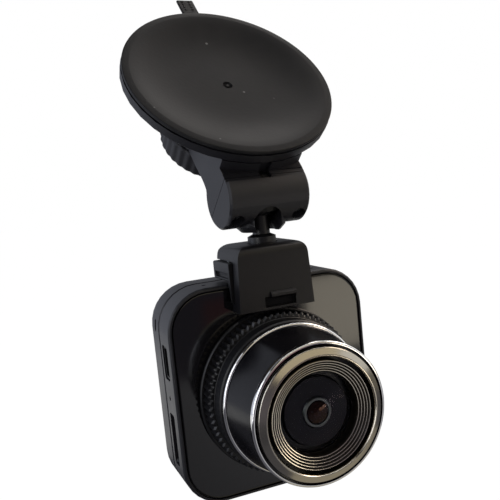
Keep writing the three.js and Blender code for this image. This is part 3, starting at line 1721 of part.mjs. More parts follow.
addPiece(cup_frame, 'suction_cup', suctionCup(), rubber_grey, 0.72);
addPiece(cup_frame, 'arm_housing', armHousing(), grey_plastic, 0.42);
addPiece(cup_frame, 'ball_clamp', ballClamp(), grey_plastic, 0.36);
addPiece(cup_frame, 'clamp_screw_left', clampScrew(-1), steel_grey, 0.35, 1);
addPiece(cup_frame, 'clamp_screw_right', clampScrew(1), steel_grey, 0.35, 1);
addPiece(cup_frame, 'pull_rod', pullRod(), steel_grey, 0.35, 1);
addPiece(cup_frame, 'cam_pin', crossPin(), steel_grey, 0.35, 1);
addPiece(cup_frame, 'lock_knob', lockKnob(), grey_plastic, 0.5);
addPiece(cup_frame, 'cup_spring', cupSpring(), steel_grey, 0.35, 1);

addPiece(camera_frame, 'ball_seat_upper', ballSeat(0, 62), black_matte, 0.5);
addPiece(camera_frame, 'ball_seat_lower', ballSeat(76, 130), black_matte, 0.5);
addPiece(camera_frame, 'ball_stud', ballStud(), black_matte, 0.35);
addPiece(camera_frame, 'stud_screw', studScrew(), steel_grey, 0.35, 1);
addPiece(camera_frame, 'mount_shoe', mountShoe(), grey_plastic, 0.45);
addPiece(camera_frame, 'release_latch', releaseLatch(), grey_plastic, 0.4);
addPiece(camera_frame, 'latch_pin', latchPin(), steel_grey, 0.35, 1);
addPiece(camera_frame, 'latch_spring', latchSpring(), steel_grey, 0.35, 1);
addPiece(camera_frame, 'mount_rail', mountRail(), black_matte, 0.5);

addPiece(camera_frame, 'front_housing', frontHousing(), grey_plastic, 0.5);
addPiece(camera_frame, 'rear_housing', rearHousing(), grey_plastic, 0.55);
addPiece(camera_frame, 'front_panel', frontPanel(), black_gloss, 0.08);
addPiece(camera_frame, 'lens_grip_ring', gripRing(), black_matte, 0.42);
addPiece(camera_frame, 'lens_trim_ring', trimRing(), chrome_silver, 0.08, 1);
addPiece(camera_frame, 'lens_barrel', lensBarrel(), black_matte, 0.4);
addPiece(camera_frame, 'lens_front_ring', frontRing(), chrome_silver, 0.08, 1);
addPiece(camera_frame, 'lens_bezel_cone', bezelRing(), satin_bronze, 0.3, 1);
addPiece(camera_frame, 'lens_ridge_ring', ridgeRing(), satin_bronze, 0.25, 1);
addPiece(camera_frame, 'front_glass', frontGlass(), glass_blue, 0.03);
addPiece(camera_frame, 'lens_cell', lensCell(), black_matte, 0.6);
addPiece(camera_frame, 'iris_ring', irisRing(), chrome_silver, 0.25, 1);
addPiece(camera_frame, 'inner_lens', innerLens(), glass_blue, 0.03);
addPiece(camera_frame, 'rear_lens_group', rearLensGroup(), black_matte, 0.5);

addPiece(camera_frame, 'image_sensor', imageSensor(), glass_blue, 0.2);
addPiece(camera_frame, 'sensor_board', sensorBoard(), board_green, 0.5);
addPiece(camera_frame, 'main_board', mainBoard(), board_green, 0.5);
addPiece(camera_frame, 'battery_cell', batteryCell(), steel_grey, 0.4, 1);
addPiece(camera_frame, 'speaker', speakerUnit(), black_matte, 0.6);
addPiece(camera_frame, 'microphone', microphoneUnit(), steel_grey, 0.4, 1);
addPiece(camera_frame, 'power_inlet_shell', inletShell(), steel_grey, 0.3, 1);
addPiece(camera_frame, 'power_inlet_tongue', inletTongue(), black_matte, 0.5);
addPiece(camera_frame, 'card_socket', cardSocket(), steel_grey, 0.3, 1);
addPiece(camera_frame, 'memory_card', memoryCard(), black_matte, 0.45);
addPiece(camera_frame, 'reset_switch', resetSwitch(), steel_grey, 0.4, 1);
addPiece(camera_frame, 'reset_button', resetButton(), black_matte, 0.5);
addPiece(camera_frame, 'display_panel', displayPanel(), black_gloss, 0.2);
addPiece(camera_frame, 'display_window', displayWindow(), black_gloss, 0.05);
for (const [name, x, z] of key_places) {
  addPiece(camera_frame, name, keyCap().translate([x, 0, z]), black_matte, 0.45);
}
addPiece(camera_frame, 'key_board_left', keyBoard(-1, key_pair_z), board_green, 0.5);
addPiece(camera_frame, 'key_board_right', keyBoard(1, key_pitch), board_green, 0.5);
screw_places.forEach((place, i) => {
  addPiece(camera_frame, `housing_screw_${i + 1}`, housingScrew(place), steel_grey, 0.35, 1);
});

export default part;
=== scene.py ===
# A dash camera hanging from its windscreen suction mount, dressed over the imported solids.
# Sizes are in millimetres and are turned to metres where a mesh or a light is placed.

import json
import math

import bmesh
import bpy
from mathutils import Euler, Matrix, Vector

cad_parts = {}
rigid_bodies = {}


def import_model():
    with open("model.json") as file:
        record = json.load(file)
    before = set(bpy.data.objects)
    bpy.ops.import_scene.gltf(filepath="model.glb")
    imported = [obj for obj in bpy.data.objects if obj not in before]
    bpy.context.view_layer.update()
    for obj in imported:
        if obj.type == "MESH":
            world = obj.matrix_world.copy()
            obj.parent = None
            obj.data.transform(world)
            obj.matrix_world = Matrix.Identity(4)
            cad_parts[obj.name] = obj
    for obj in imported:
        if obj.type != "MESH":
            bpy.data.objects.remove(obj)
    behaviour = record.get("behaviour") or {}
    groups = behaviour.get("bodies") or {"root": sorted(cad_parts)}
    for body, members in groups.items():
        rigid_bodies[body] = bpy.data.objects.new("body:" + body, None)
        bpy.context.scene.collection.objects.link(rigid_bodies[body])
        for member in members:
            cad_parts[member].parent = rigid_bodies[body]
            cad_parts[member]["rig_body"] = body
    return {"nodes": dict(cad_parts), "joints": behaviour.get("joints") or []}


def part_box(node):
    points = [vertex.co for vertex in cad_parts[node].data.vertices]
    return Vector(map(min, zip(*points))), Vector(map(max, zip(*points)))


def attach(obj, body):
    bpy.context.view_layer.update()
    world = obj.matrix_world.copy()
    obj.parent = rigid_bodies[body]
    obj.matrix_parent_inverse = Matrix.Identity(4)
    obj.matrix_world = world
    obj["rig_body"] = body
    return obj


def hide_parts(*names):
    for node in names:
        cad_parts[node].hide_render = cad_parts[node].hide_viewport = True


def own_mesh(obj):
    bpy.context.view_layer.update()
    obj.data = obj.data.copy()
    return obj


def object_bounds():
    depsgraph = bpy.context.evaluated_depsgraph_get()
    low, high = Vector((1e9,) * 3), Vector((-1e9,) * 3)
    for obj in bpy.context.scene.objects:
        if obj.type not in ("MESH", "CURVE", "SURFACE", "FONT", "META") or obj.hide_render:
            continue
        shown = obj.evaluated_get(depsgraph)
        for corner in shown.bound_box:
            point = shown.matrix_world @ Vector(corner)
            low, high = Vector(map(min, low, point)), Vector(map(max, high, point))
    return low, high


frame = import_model()
cad_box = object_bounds()


# The camera: the viewer stands to the left of the lens axis and a little above it, close by,
# with the camera rolled a few degrees.
MM = 0.001
EYE_MM = Vector((-59.65, -153.53, -24.51))
EYE_TURN_DEG = (83.583, 5.684, -22.070)
SENSOR_MM = 36.0
LENS_MM = 47.52
CLIP_NEAR_MM = 5.0
CLIP_FAR_MM = 20000.0

eye_data = bpy.data.cameras.new("eye")
eye_data.sensor_fit = "HORIZONTAL"
eye_data.sensor_width = SENSOR_MM
eye_data.lens = LENS_MM
eye_data.clip_start = CLIP_NEAR_MM * MM
eye_data.clip_end = CLIP_FAR_MM * MM
eye = bpy.data.objects.new("eye", eye_data)
bpy.context.scene.collection.objects.link(eye)
eye.location = EYE_MM * MM
eye.rotation_euler = Euler([math.radians(a) for a in EYE_TURN_DEG], "XYZ")
bpy.context.scene.camera = eye


# The studio: a pale floor well below the hanging camera, a white surround, and soft lamps. Cards
# stand round the camera for its polished and satin surfaces to mirror: pale to the left and
# behind, mostly grey to dark on the other sides.
def linear(hex_colour):
    """An sRGB hex colour as linear RGBA."""
    channels = [int(hex_colour[i:i + 2], 16) / 255 for i in (1, 3, 5)]
    return tuple(c / 12.92 if c <= 0.04045 else ((c + 0.055) / 1.055) ** 2.4
                 for c in channels) + (1.0,)


def add_node(tree, kind, settings=None, links=None):
    """Adds one node: settings are its properties or its sockets' values, links feed its sockets."""
    node = tree.nodes.new(kind)
    for key, value in (settings or {}).items():
        if isinstance(key, str) and hasattr(node, key) and key not in node.inputs:
            setattr(node, key, value)
        else:
            node.inputs[key].default_value = value
    for socket, source in (links or {}).items():
        tree.links.new(source, node.inputs[socket])
    return node


def surround_share(tree):
    """1 for what the eye, a mirror or a glass sees of the surround, 0 for the light it gives."""
    path = add_node(tree, "ShaderNodeLightPath")
    seen = add_node(tree, "ShaderNodeMath", {"operation": "MAXIMUM"},
                    {0: path.outputs["Is Camera Ray"], 1: path.outputs["Is Glossy Ray"]})
    return add_node(tree, "ShaderNodeMath", {"operation": "MAXIMUM"},
                    {0: seen.outputs[0], 1: path.outputs["Is Transmission Ray"]}).outputs[0]


SURROUND_WHITE = "#ffffff"
AMBIENT_STRENGTH = 0.35

world = bpy.data.worlds.new("white_surround")
bpy.context.scene.world = world
world.use_nodes = True
sky = world.node_tree
sky.nodes.clear()
ambient = add_node(sky, "ShaderNodeBackground",
                   {"Color": linear(SURROUND_WHITE), "Strength": AMBIENT_STRENGTH})
shown = add_node(sky, "ShaderNodeBackground", {"Color": linear(SURROUND_WHITE), "Strength": 1.0})
mixed = add_node(sky, "ShaderNodeMixShader", None,
                 {0: surround_share(sky), 1: ambient.outputs[0], 2: shown.outputs[0]})
add_node(sky, "ShaderNodeOutputWorld", None, {"Surface": mixed.outputs[0]})

FLOOR_DROP_MM = 70.0
FLOOR_HALF_MM = 3000.0
FLOOR_COLOUR = "#f4f4f3"
FLOOR_GLOW = 1.03
FLOOR_GLOW_SHARE = 0.96

paint = bpy.data.materials.new("matt_white_studio_floor")
paint.use_nodes = True
paint_tree = paint.node_tree
paint_tree.nodes.clear()
floor_matt = add_node(paint_tree, "ShaderNodeBsdfDiffuse", {"Color": linear(FLOOR_COLOUR)})
floor_glow = add_node(paint_tree, "ShaderNodeEmission",
                      {"Color": linear(SURROUND_WHITE), "Strength": FLOOR_GLOW})
floor_share = add_node(paint_tree, "ShaderNodeMath",
                       {"operation": "MULTIPLY", 1: FLOOR_GLOW_SHARE},
                       {0: surround_share(paint_tree)})
floor_mix = add_node(paint_tree, "ShaderNodeMixShader", None,
                     {0: floor_share.outputs[0], 1: floor_matt.outputs[0],
                      2: floor_glow.outputs[0]})
add_node(paint_tree, "ShaderNodeOutputMaterial", None, {"Surface": floor_mix.outputs[0]})


def stage_sheet(name, material, *places_mm):
    """A flat stage piece. Of its x, y and z places two are spans and one is where it lies."""
    spans = [place if isinstance(place, tuple) else (place, place) for place in places_mm]
    low, high = (Vector(ends) for ends in zip(*spans))
    first, last = (axis for axis in range(3) if low[axis] != high[axis])
    corners = [low, low.copy(), high, low.copy()]
    corners[1][first] = high[first]
    corners[3][last] = high[last]
    bm = bmesh.new()
    bm.faces.new([bm.verts.new(corner * MM) for corner in corners])
    mesh = bpy.data.meshes.new(name)
    bm.to_mesh(mesh)
    bm.free()
    mesh.materials.append(material)
    sheet = bpy.data.objects.new(name, mesh)
    bpy.context.scene.collection.objects.link(sheet)
    return sheet


FLOOR_SPAN_MM = (-FLOOR_HALF_MM, FLOOR_HALF_MM)
floor_z = cad_box[0].z / MM - FLOOR_DROP_MM
stage_sheet("studio_floor", paint, FLOOR_SPAN_MM, FLOOR_SPAN_MM, floor_z)


def card(name, colour, x_mm, y_mm, z_mm, strength=1.0, shade=None):
    """A card that only polished surfaces see. Shade is a second colour, an axis and a span."""
    material = bpy.data.materials.new(name + "_paper")
    material.use_nodes = True
    tree = material.node_tree
    tree.nodes.clear()
    glow = add_node(tree, "ShaderNodeEmission", {"Color": linear(colour), "Strength": strength})
    if shade:
        far_colour, axis, (start_mm, end_mm) = shade
        place = add_node(tree, "ShaderNodeTexCoord")
        parts = add_node(tree, "ShaderNodeSeparateXYZ", None, {0: place.outputs["Object"]})
        share = add_node(tree, "ShaderNodeMapRange",
                         {"From Min": start_mm * MM, "From Max": end_mm * MM},
                         {"Value": parts.outputs[axis]})
        blend = add_node(tree, "ShaderNodeMix",
                         {"data_type": "RGBA", "A": linear(colour), "B": linear(far_colour)},
                         {"Factor": share.outputs[0]})
        tree.links.new(blend.outputs["Result"], glow.inputs["Color"])
    add_node(tree, "ShaderNodeOutputMaterial", None, {"Surface": glow.outputs[0]})
    sheet = stage_sheet(name, material, x_mm, y_mm, z_mm)
    sheet.visible_camera = False
    sheet.visible_diffuse = False
    sheet.visible_shadow = False


CARD_LIFT_MM = 1.0
CARD_LOW_MM = floor_z + CARD_LIFT_MM
CARD_TOP_MM = 460.0
CARD_SIDE_MM = 420.0
CARD_FRONT_MM = -330.0
CARD_BACK_MM = 420.0
FLOOR_CARD_BACK_MM = -140.0
UNDER_CARD_BACK_MM = 180.0
WIDTH_MM = (-CARD_SIDE_MM, CARD_SIDE_MM)
DEPTH_MM = (CARD_FRONT_MM, CARD_BACK_MM)
HEIGHT_MM = (CARD_LOW_MM, CARD_TOP_MM)
RIGHT_CARD_Z_MM = (CARD_LOW_MM, -60.0)
FRONT_SHADE_MM = (-60.0, 160.0)
FLOOR_SHADE_MM = (-60.0, 60.0)
LEFT_SHADE_MM = (-200.0, 300.0)
BACK_SHADE_MM = (-200.0, 200.0)

# Smaller cards lie a little inside the large ones, for the paler and the warmer patches that the
# panel and the rings mirror. Only rounded edges mirror the two bright strips.
INSIDE_MM = 2.0
LEFT_STRIP_WIDTH_MM = 110.0
FRONT_INSIDE_MM = CARD_FRONT_MM + INSIDE_MM
PALE_CARD_X_MM = (165.0, CARD_SIDE_MM)
PALE_CARD_Z_MM = (CARD_LOW_MM, -108.0)
LEFT_STRIP_Y_MM = (CARD_FRONT_MM, CARD_FRONT_MM + LEFT_STRIP_WIDTH_MM)
LEFT_STRIP_Z_MM = (CARD_LOW_MM, 260.0)
CEILING_STRIP_X_MM = (-200.0, CARD_SIDE_MM)
CEILING_STRIP_Y_MM = (-190.0, -110.0)
CREAM_CARD_X_MM = (-110.0, 400.0)
CREAM_CARD_Z_MM = (15.0, 270.0)
ROSE_CARD_X_MM = (80.0, 134.0)
ROSE_CARD_Z_MM = (-165.0, -112.0)
BEIGE_CARD_X_MM = (-10.0, 150.0)
BEIGE_CARD_Y_MM = (-130.0, -20.0)

card("front_card", "#68646e", WIDTH_MM, CARD_FRONT_MM, HEIGHT_MM,
     shade=("#2a282b", "Z", FRONT_SHADE_MM))
card("floor_card", "#4a4a50", WIDTH_MM, (CARD_FRONT_MM, FLOOR_CARD_BACK_MM), CARD_LOW_MM,
     shade=("#c4c3c6", "X", FLOOR_SHADE_MM))
card("under_card", "#5a5a60", WIDTH_MM, (FLOOR_CARD_BACK_MM, UNDER_CARD_BACK_MM), CARD_LOW_MM)
card("pale_card", "#d2c9b8", PALE_CARD_X_MM, FRONT_INSIDE_MM, PALE_CARD_Z_MM, strength=5.6)
card("left_card", "#eceef2", -CARD_SIDE_MM, DEPTH_MM, HEIGHT_MM,
     shade=("#c4c8d4", "Y", LEFT_SHADE_MM))
card("back_card", "#c8ccd8", WIDTH_MM, CARD_BACK_MM, HEIGHT_MM,
     shade=("#7c7d82", "X", BACK_SHADE_MM))
card("ceiling_card", "#38383a", WIDTH_MM, DEPTH_MM, CARD_TOP_MM)
card("left_strip", "#ffffff", INSIDE_MM - CARD_SIDE_MM, LEFT_STRIP_Y_MM, LEFT_STRIP_Z_MM,
     strength=4.0)
card("ceiling_strip", "#ffffff", CEILING_STRIP_X_MM, CEILING_STRIP_Y_MM, CARD_TOP_MM - INSIDE_MM,
     strength=3.0)
card("cream_card", "#efe3c8", CREAM_CARD_X_MM, FRONT_INSIDE_MM, CREAM_CARD_Z_MM, strength=0.9)
card("rose_card", "#8a6063", ROSE_CARD_X_MM, FRONT_INSIDE_MM, ROSE_CARD_Z_MM)
card("right_card", "#7a766e", CARD_SIDE_MM, DEPTH_MM, RIGHT_CARD_Z_MM)
card("beige_card", "#d8d0be", BEIGE_CARD_X_MM, BEIGE_CARD_Y_MM, CARD_LOW_MM + INSIDE_MM,
     strength=0.65)

LAMP_AIM_MM = (0.0, 0.0, -50.0)
KEY_BOX_MM = (210.0, 210.0, 400.0)
RIGHT_BOX_MM = (360.0, -90.0, 220.0)
LEFT_BOX_MM = (-400.0, 60.0, 40.0)


def soft_lamp(name, place_mm, side_mm, watts, tint):
    """A square soft box, aimed at the middle of the object."""
    data = bpy.data.lights.new(name, "AREA")
    data.shape = "SQUARE"
    data.size = side_mm * MM
    data.energy = watts
    data.color = linear(tint)[:3]
    lamp = bpy.data.objects.new(name, data)
    bpy.context.scene.collection.objects.link(lamp)
    lamp.location = Vector(place_mm) * MM
    aim = (Vector(LAMP_AIM_MM) - Vector(place_mm)).normalized()
    lamp.rotation_euler = aim.to_track_quat("-Z", "Y").to_euler()
    lamp.visible_transmission = False


soft_lamp("key_box", KEY_BOX_MM, side_mm=200.0, watts=0.6, tint="#fffaf6")
soft_lamp("right_box", RIGHT_BOX_MM, side_mm=160.0, watts=0.6, tint="#ffe8d2")
soft_lamp("left_box", LEFT_BOX_MM, side_mm=300.0, watts=0.5, tint="#e6ecff")
bpy.context.scene.view_settings.view_transform = "Standard"


# The suction cup: one disc of soft PVC rubber, cast with a flat sealing rim, a shallow dish and a
# small pull tab. It is held to the glass by the vacuum under it.
joint_of = {joint["name"]: joint for joint in frame["joints"]}
cup_x = Vector(joint_of["arm_tilt"]["axis"]).normalized()
cup_z = Vector(joint_of["knob_turn"]["axis"]).normalized()
cup_y = cup_z.cross(cup_x).normalized()
CUP_PLACE = Matrix((cup_x, cup_y, cup_z)).transposed().to_4x4() @ Matrix.Scale(MM, 4)
SAME_POINT_MM = 1e-4
SMOOTH_DEG = 32.0


def edge(radius, height, steps):
    """A rounded edge of an outline: each step is inward and upward from its sharp corner."""
    return [(radius - inward, height + upward) for inward, upward in steps]


def revolved(profile, steps):
    """A closed turned piece about local Z: profile points are (radius, height)."""
    bm = bmesh.new()
    verts = [bm.verts.new((r, 0.0, h)) for r, h in profile]
    for a, b in zip(verts, verts[1:]):
        bm.edges.new((a, b))
    if profile[0][0] > 0 or profile[-1][0] > 0:
        bm.edges.new((verts[-1], verts[0]))
    bmesh.ops.spin(bm, geom=bm.verts[:] + bm.edges[:], cent=(0, 0, 0), axis=(0, 0, 1),
                   dvec=(0, 0, 0), angle=2 * math.pi, steps=steps, use_merge=True)
    bmesh.ops.remove_doubles(bm, verts=bm.verts, dist=SAME_POINT_MM)
    bmesh.ops.dissolve_degenerate(bm, edges=bm.edges, dist=SAME_POINT_MM)
    bmesh.ops.recalc_face_normals(bm, faces=bm.faces)
    return bm


def finished(bm, name, place, material, node, even=True):
    """Puts a shaped piece in the frame, in place of the node it stands for."""
    bm.transform(place)
    mesh = bpy.data.meshes.new(name)
    bm.to_mesh(mesh)
    bm.free()
    mesh.materials.append(material)
    mesh.shade_smooth()
    mesh.set_sharp_from_angle(angle=math.radians(SMOOTH_DEG))
    piece = bpy.data.objects.new(name, mesh)
    bpy.context.scene.collection.objects.link(piece)
    if even:
        normals = piece.modifiers.new("even_normals", "WEIGHTED_NORMAL")
        normals.keep_sharp = True
    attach(piece, frame["nodes"][node]["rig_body"])
    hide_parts(node)
    return piece


def bare_material(name, settings):
    """A material with plain values on its shader's sockets."""
    material = bpy.data.materials.new(name)
    material.use_nodes = True
    shader = material.node_tree.nodes["Principled BSDF"]
    for socket, value in settings.items():
        shader.inputs[socket].default_value = value
    return material


def uneven_polish(material, patch_mm, roughness, spread, detail):
    """Lets the roughness drift from patch to patch. Gives the tree, the shader and the patches."""
    tree = material.node_tree
    shader = tree.nodes["Principled BSDF"]
    place = add_node(tree, "ShaderNodeTexCoord")
    patches = add_node(tree, "ShaderNodeTexNoise",
                       {"Scale": 1 / (patch_mm * MM), "Detail": detail},
                       {"Vector": place.outputs["Object"]})
    dullness = add_node(tree, "ShaderNodeMapRange",
                        {"To Min": roughness - spread, "To Max": roughness + spread},
                        {"Value": patches.outputs[0]})
    tree.links.new(dullness.outputs[0], shader.inputs["Roughness"])
    return tree, shader, patches.outputs[0]


CUP_RUBBER = "#19191b"
CUP_DUST = "#303030"
CUP_SPECK = "#7c7c7c"
CUP_ROUGHNESS = 0.535
CUP_ROUGHNESS_SPREAD = 0.085
CUP_CLOUD_MM = 14.0
# The rubber's real grain is about 0.1 mm; it is drawn at 0.9 mm so that it shows at all.
CUP_GRAIN_MM = 0.9
CUP_GRAIN_HEIGHT_MM = 0.08
SPECK_SPACING_MM = 7.0
SPECK_BARE_SHARE = 0.45

# Cast rubber is dull and nearly black, with clouds of pale bloom and a few specks of dust on it.
rubber = bare_material("cast_pvc_rubber", {"IOR": 1.5, "Specular IOR Level": 0.14})
tree, shader, clouds = uneven_polish(rubber, CUP_CLOUD_MM, CUP_ROUGHNESS, CUP_ROUGHNESS_SPREAD,
                                     detail=5.0)
place = add_node(tree, "ShaderNodeTexCoord").outputs["Object"]
dusting = add_node(tree, "ShaderNodeMapRange",
                   {"From Min": 0.42, "From Max": 0.78, "To Min": 0.0, "To Max": 0.45},
                   {"Value": clouds})
tone = add_node(tree, "ShaderNodeMix",
                {"data_type": "RGBA", "A": linear(CUP_RUBBER), "B": linear(CUP_DUST)},
                {"Factor": dusting.outputs[0]})
specks = add_node(tree, "ShaderNodeTexVoronoi", {"Scale": 1 / (SPECK_SPACING_MM * MM)},
                  {"Vector": place})
speck_mask = add_node(tree, "ShaderNodeMapRange",
                      {"From Min": 0.03, "From Max": 0.06, "To Min": 0.8, "To Max": 0.0},
                      {"Value": specks.outputs["Distance"]})
chosen = add_node(tree, "ShaderNodeSeparateColor", None, {0: specks.outputs["Color"]})
kept = add_node(tree, "ShaderNodeMath", {"operation": "GREATER_THAN", 1: SPECK_BARE_SHARE},
                {0: chosen.outputs[0]})
speck_share = add_node(tree, "ShaderNodeMath", {"operation": "MULTIPLY"},
                       {0: speck_mask.outputs[0], 1: kept.outputs[0]})
flecked = add_node(tree, "ShaderNodeMix", {"data_type": "RGBA", "B": linear(CUP_SPECK)},
                   {"A": tone.outputs["Result"], "Factor": speck_share.outputs[0]})
tree.links.new(flecked.outputs["Result"], shader.inputs["Base Color"])
pores = add_node(tree, "ShaderNodeTexNoise", {"Scale": 1 / (CUP_GRAIN_MM * MM), "Detail": 4.0},
                 {"Vector": place})
cup_bump = add_node(tree, "ShaderNodeBump",
                    {"Strength": 0.25, "Distance": CUP_GRAIN_HEIGHT_MM * MM},
                    {"Height": pores.outputs[0]})
tree.links.new(cup_bump.outputs[0], shader.inputs["Normal"])

CUP_R = 26.3
CUP_LIP = 1.0
CUP_RIM_IN = 24.4
CUP_SLOPE_R = 23.9
CUP_SHOULDER_R = 12.3
CUP_SHOULDER = 3.9
CUP_BACK = 4.4
BOSS_R = 6.4
BOSS_BACK = 7.0
HEAD_ROOM_R = 4.85
CUP_STEPS = 128
LIP_FRONT_EDGE = ((0.3, 0.0), (0.09, -0.1), (0.0, -0.32))
LIP_BACK_EDGE = ((0.0, 0.25), (0.1, 0.05), (0.3, 0.0))
RIM_INNER_EDGE = ((0.0, -0.01), (-0.25, 0.0))

# The dish sinks from the rim along a curve to the ring-shaped mark at its middle.
CUP_DISH = 2.7
DISH_STEPS = 18
DISH_RIM_POWER = 4
DISH_FLOOR_POWER = 1.5
DIMPLE_R = 1.25
DIMPLE_DEPTH = 0.5
DIMPLE_SHARES = ((0.0, 0.2), (0.3, 0.24), (0.45, 1.0), (0.8, 1.0), (1.0, 0.0))

dish = [(DIMPLE_R * out, -CUP_DISH - DIMPLE_DEPTH * down) for out, down in DIMPLE_SHARES]
for i in range(1, DISH_STEPS):
    share = i / DISH_STEPS
    dish.append((DIMPLE_R + (CUP_RIM_IN - DIMPLE_R) * share,
                 -CUP_DISH * (1 - share ** DISH_RIM_POWER) ** DISH_FLOOR_POWER))
cup = revolved([
    *dish, *edge(CUP_RIM_IN, 0.0, RIM_INNER_EDGE), *edge(CUP_R, 0.0, LIP_FRONT_EDGE),
    *edge(CUP_R, -CUP_LIP, LIP_BACK_EDGE), (CUP_SLOPE_R, -CUP_LIP),
    (CUP_SHOULDER_R, -CUP_SHOULDER), (BOSS_R, -CUP_BACK), (BOSS_R, -BOSS_BACK),
    (HEAD_ROOM_R, -BOSS_BACK), (HEAD_ROOM_R, -CUP_BACK), (0.0, -CUP_BACK),
], CUP_STEPS)

TAB_X = -1.2
TAB_HALF = 2.3
TAB_TIP = 32.4
TAB_OVERLAP = 1.2
TAB_ROOT = CUP_R - TAB_OVERLAP
TAB_THICK = 0.7
TAB_LIFT = 0.02
TAB_EASE = 0.3
tab = bmesh.ops.create_cube(cup, size=1.0)["verts"]
bmesh.ops.scale(cup, verts=tab, vec=(2 * TAB_HALF, TAB_TIP - TAB_ROOT, TAB_THICK))
bmesh.ops.translate(cup, verts=tab, vec=(TAB_X, (TAB_TIP + TAB_ROOT) / 2,
                                         -CUP_LIP + TAB_THICK / 2 + TAB_LIFT))
tab_edges = list({e for v in tab for e in v.link_edges})
bmesh.ops.bevel(cup, geom=tab_edges, offset=TAB_EASE, affect="EDGES", segments=3, profile=0.5,
                material=-1, offset_type="OFFSET", clamp_overlap=True)

# Two columns of flattened grip beads stand on the tab.
BEAD_R = 0.42
BEAD_FLAT_SHARE = 0.6
BEAD_PITCH = 1.15
BEAD_ROWS = 4
BEAD_INSET = 0.9
BEAD_SUNK = 0.05
BEAD_COLUMN_SHARE = 0.42
for side in (-1, 1):
    for row in range(BEAD_ROWS):
        bead_place = Matrix.Translation((TAB_X + side * TAB_HALF * BEAD_COLUMN_SHARE,
                                         TAB_TIP - BEAD_INSET - row * BEAD_PITCH,
                                         -CUP_LIP + TAB_THICK - BEAD_SUNK))
        flatten = Matrix.Diagonal((1.0, 1.0, BEAD_FLAT_SHARE, 1.0))
        bmesh.ops.create_icosphere(cup, subdivisions=2, radius=BEAD_R,
                                   matrix=bead_place @ flatten)
finished(cup, "suction_cup_rubber", CUP_PLACE, rubber, "suction_cup")


# The housing behind the cup, its arm and the split ball clamp: injection-moulded ABS with a fine
# spark-eroded texture. Two self-tapping screws close the clamp on the ball's seats.
FLOW_MM = 9.0
FLOW_SHADE_SHARE = 0.2
FINE_SPREAD = 0.05
# The real grain is about 0.05 mm; it is drawn at 0.35 mm so that it shows at all.
MOULD_GRAIN_MM = 0.35


def fine_grained(name, colour, roughness, grain_height_mm, grain_mm=MOULD_GRAIN_MM, mirror=0.32):
    """A mould's or a dull finish's fine grain on one colour, with faint clouds of flow in it."""
    material = bare_material(name, {"IOR": 1.53, "Specular IOR Level": mirror})
    tree, shader, flow = uneven_polish(material, FLOW_MM, roughness, FINE_SPREAD, detail=2.0)
    place = add_node(tree, "ShaderNodeTexCoord").outputs["Object"]
    darker = tuple(c * (1 - FLOW_SHADE_SHARE) for c in linear(colour)[:3]) + (1.0,)
    tone = add_node(tree, "ShaderNodeMix",
                    {"data_type": "RGBA", "A": darker, "B": linear(colour)}, {"Factor": flow})
    tree.links.new(tone.outputs["Result"], shader.inputs["Base Color"])
    grain = add_node(tree, "ShaderNodeTexNoise", {"Scale": 1 / (grain_mm * MM), "Detail": 3.0},
                     {"Vector": place})
    bump = add_node(tree, "ShaderNodeBump",
                    {"Strength": 0.3, "Distance": grain_height_mm * MM},
                    {"Height": grain.outputs[0]})
    tree.links.new(bump.outputs[0], shader.inputs["Normal"])
    return material


SOLID_SAME_POINT_MM = 2e-3
FLAT_DEG = 1.0
EASED_FROM_DEG = 48.0
EASED_FROM_MM = 0.9
MOUNT_EASE_MM = 0.18


def from_solid(node, name, material, ease_mm=0.0):
    """A merged copy of a CAD node. Its longer sharp edges are eased where a radius is given."""
    bm = bmesh.new()
    bm.from_mesh(frame["nodes"][node].data)
    bm.transform(Matrix.Scale(1 / MM, 4))
    bmesh.ops.remove_doubles(bm, verts=bm.verts, dist=SOLID_SAME_POINT_MM)
    bmesh.ops.dissolve_degenerate(bm, edges=bm.edges, dist=SOLID_SAME_POINT_MM)
    bmesh.ops.dissolve_limit(bm, angle_limit=math.radians(FLAT_DEG), verts=bm.verts,
                             edges=bm.edges, use_dissolve_boundaries=False)
    if ease_mm:
        sharp = [e for e in bm.edges if len(e.link_faces) == 2
                 and e.calc_face_angle(0.0) > math.radians(EASED_FROM_DEG)
                 and e.calc_length() > EASED_FROM_MM]
        bmesh.ops.bevel(bm, geom=sharp, offset=ease_mm, affect="EDGES", segments=2, profile=0.5,
                        material=-1, offset_type="OFFSET", clamp_overlap=True)
    return finished(bm, name, Matrix.Scale(MM, 4), material, node)


# Moulded ABS from an eroded tool is a soft satin black.
mount_abs = fine_grained("moulded_satin_abs", "#1a1a20", roughness=0.47, grain_height_mm=0.05)
from_solid("arm_housing", "mount_arm_moulding", mount_abs, ease_mm=MOUNT_EASE_MM)
from_solid("ball_clamp", "ball_clamp_half", mount_abs, ease_mm=MOUNT_EASE_MM)


# The locking knob: ribbed ABS, turned a quarter to draw the cup's middle back. Two cams in its
# rear well lift the steel pin across the pull rod.
KNOB_R = 13.8
KNOB_FRONT = -16.5
KNOB_BACK = -23.1
KNOB_FRONT_EDGE = ((0.55, 0.0), (0.2, -0.3), (0.0, -0.7))
KNOB_BACK_EDGE = ((0.0, 1.4), (0.42, 0.66), (1.02, 0.16), (1.5, 0.0))
KNOB_RIBS = 36
RIB_HEIGHT = 0.22
RIB_SHARES = (0.0, 0.0, 0.5, 1.0, 1.0, 0.5)
RIBBED_WIDTH = 1.6
KNOB_WELL_R = 6.0
KNOB_WELL_FLOOR = -20.5
KNOB_WELL_EDGE = ((-0.3, 0.0), (0.0, 0.3))
KNOB_BORE_R = 2.65

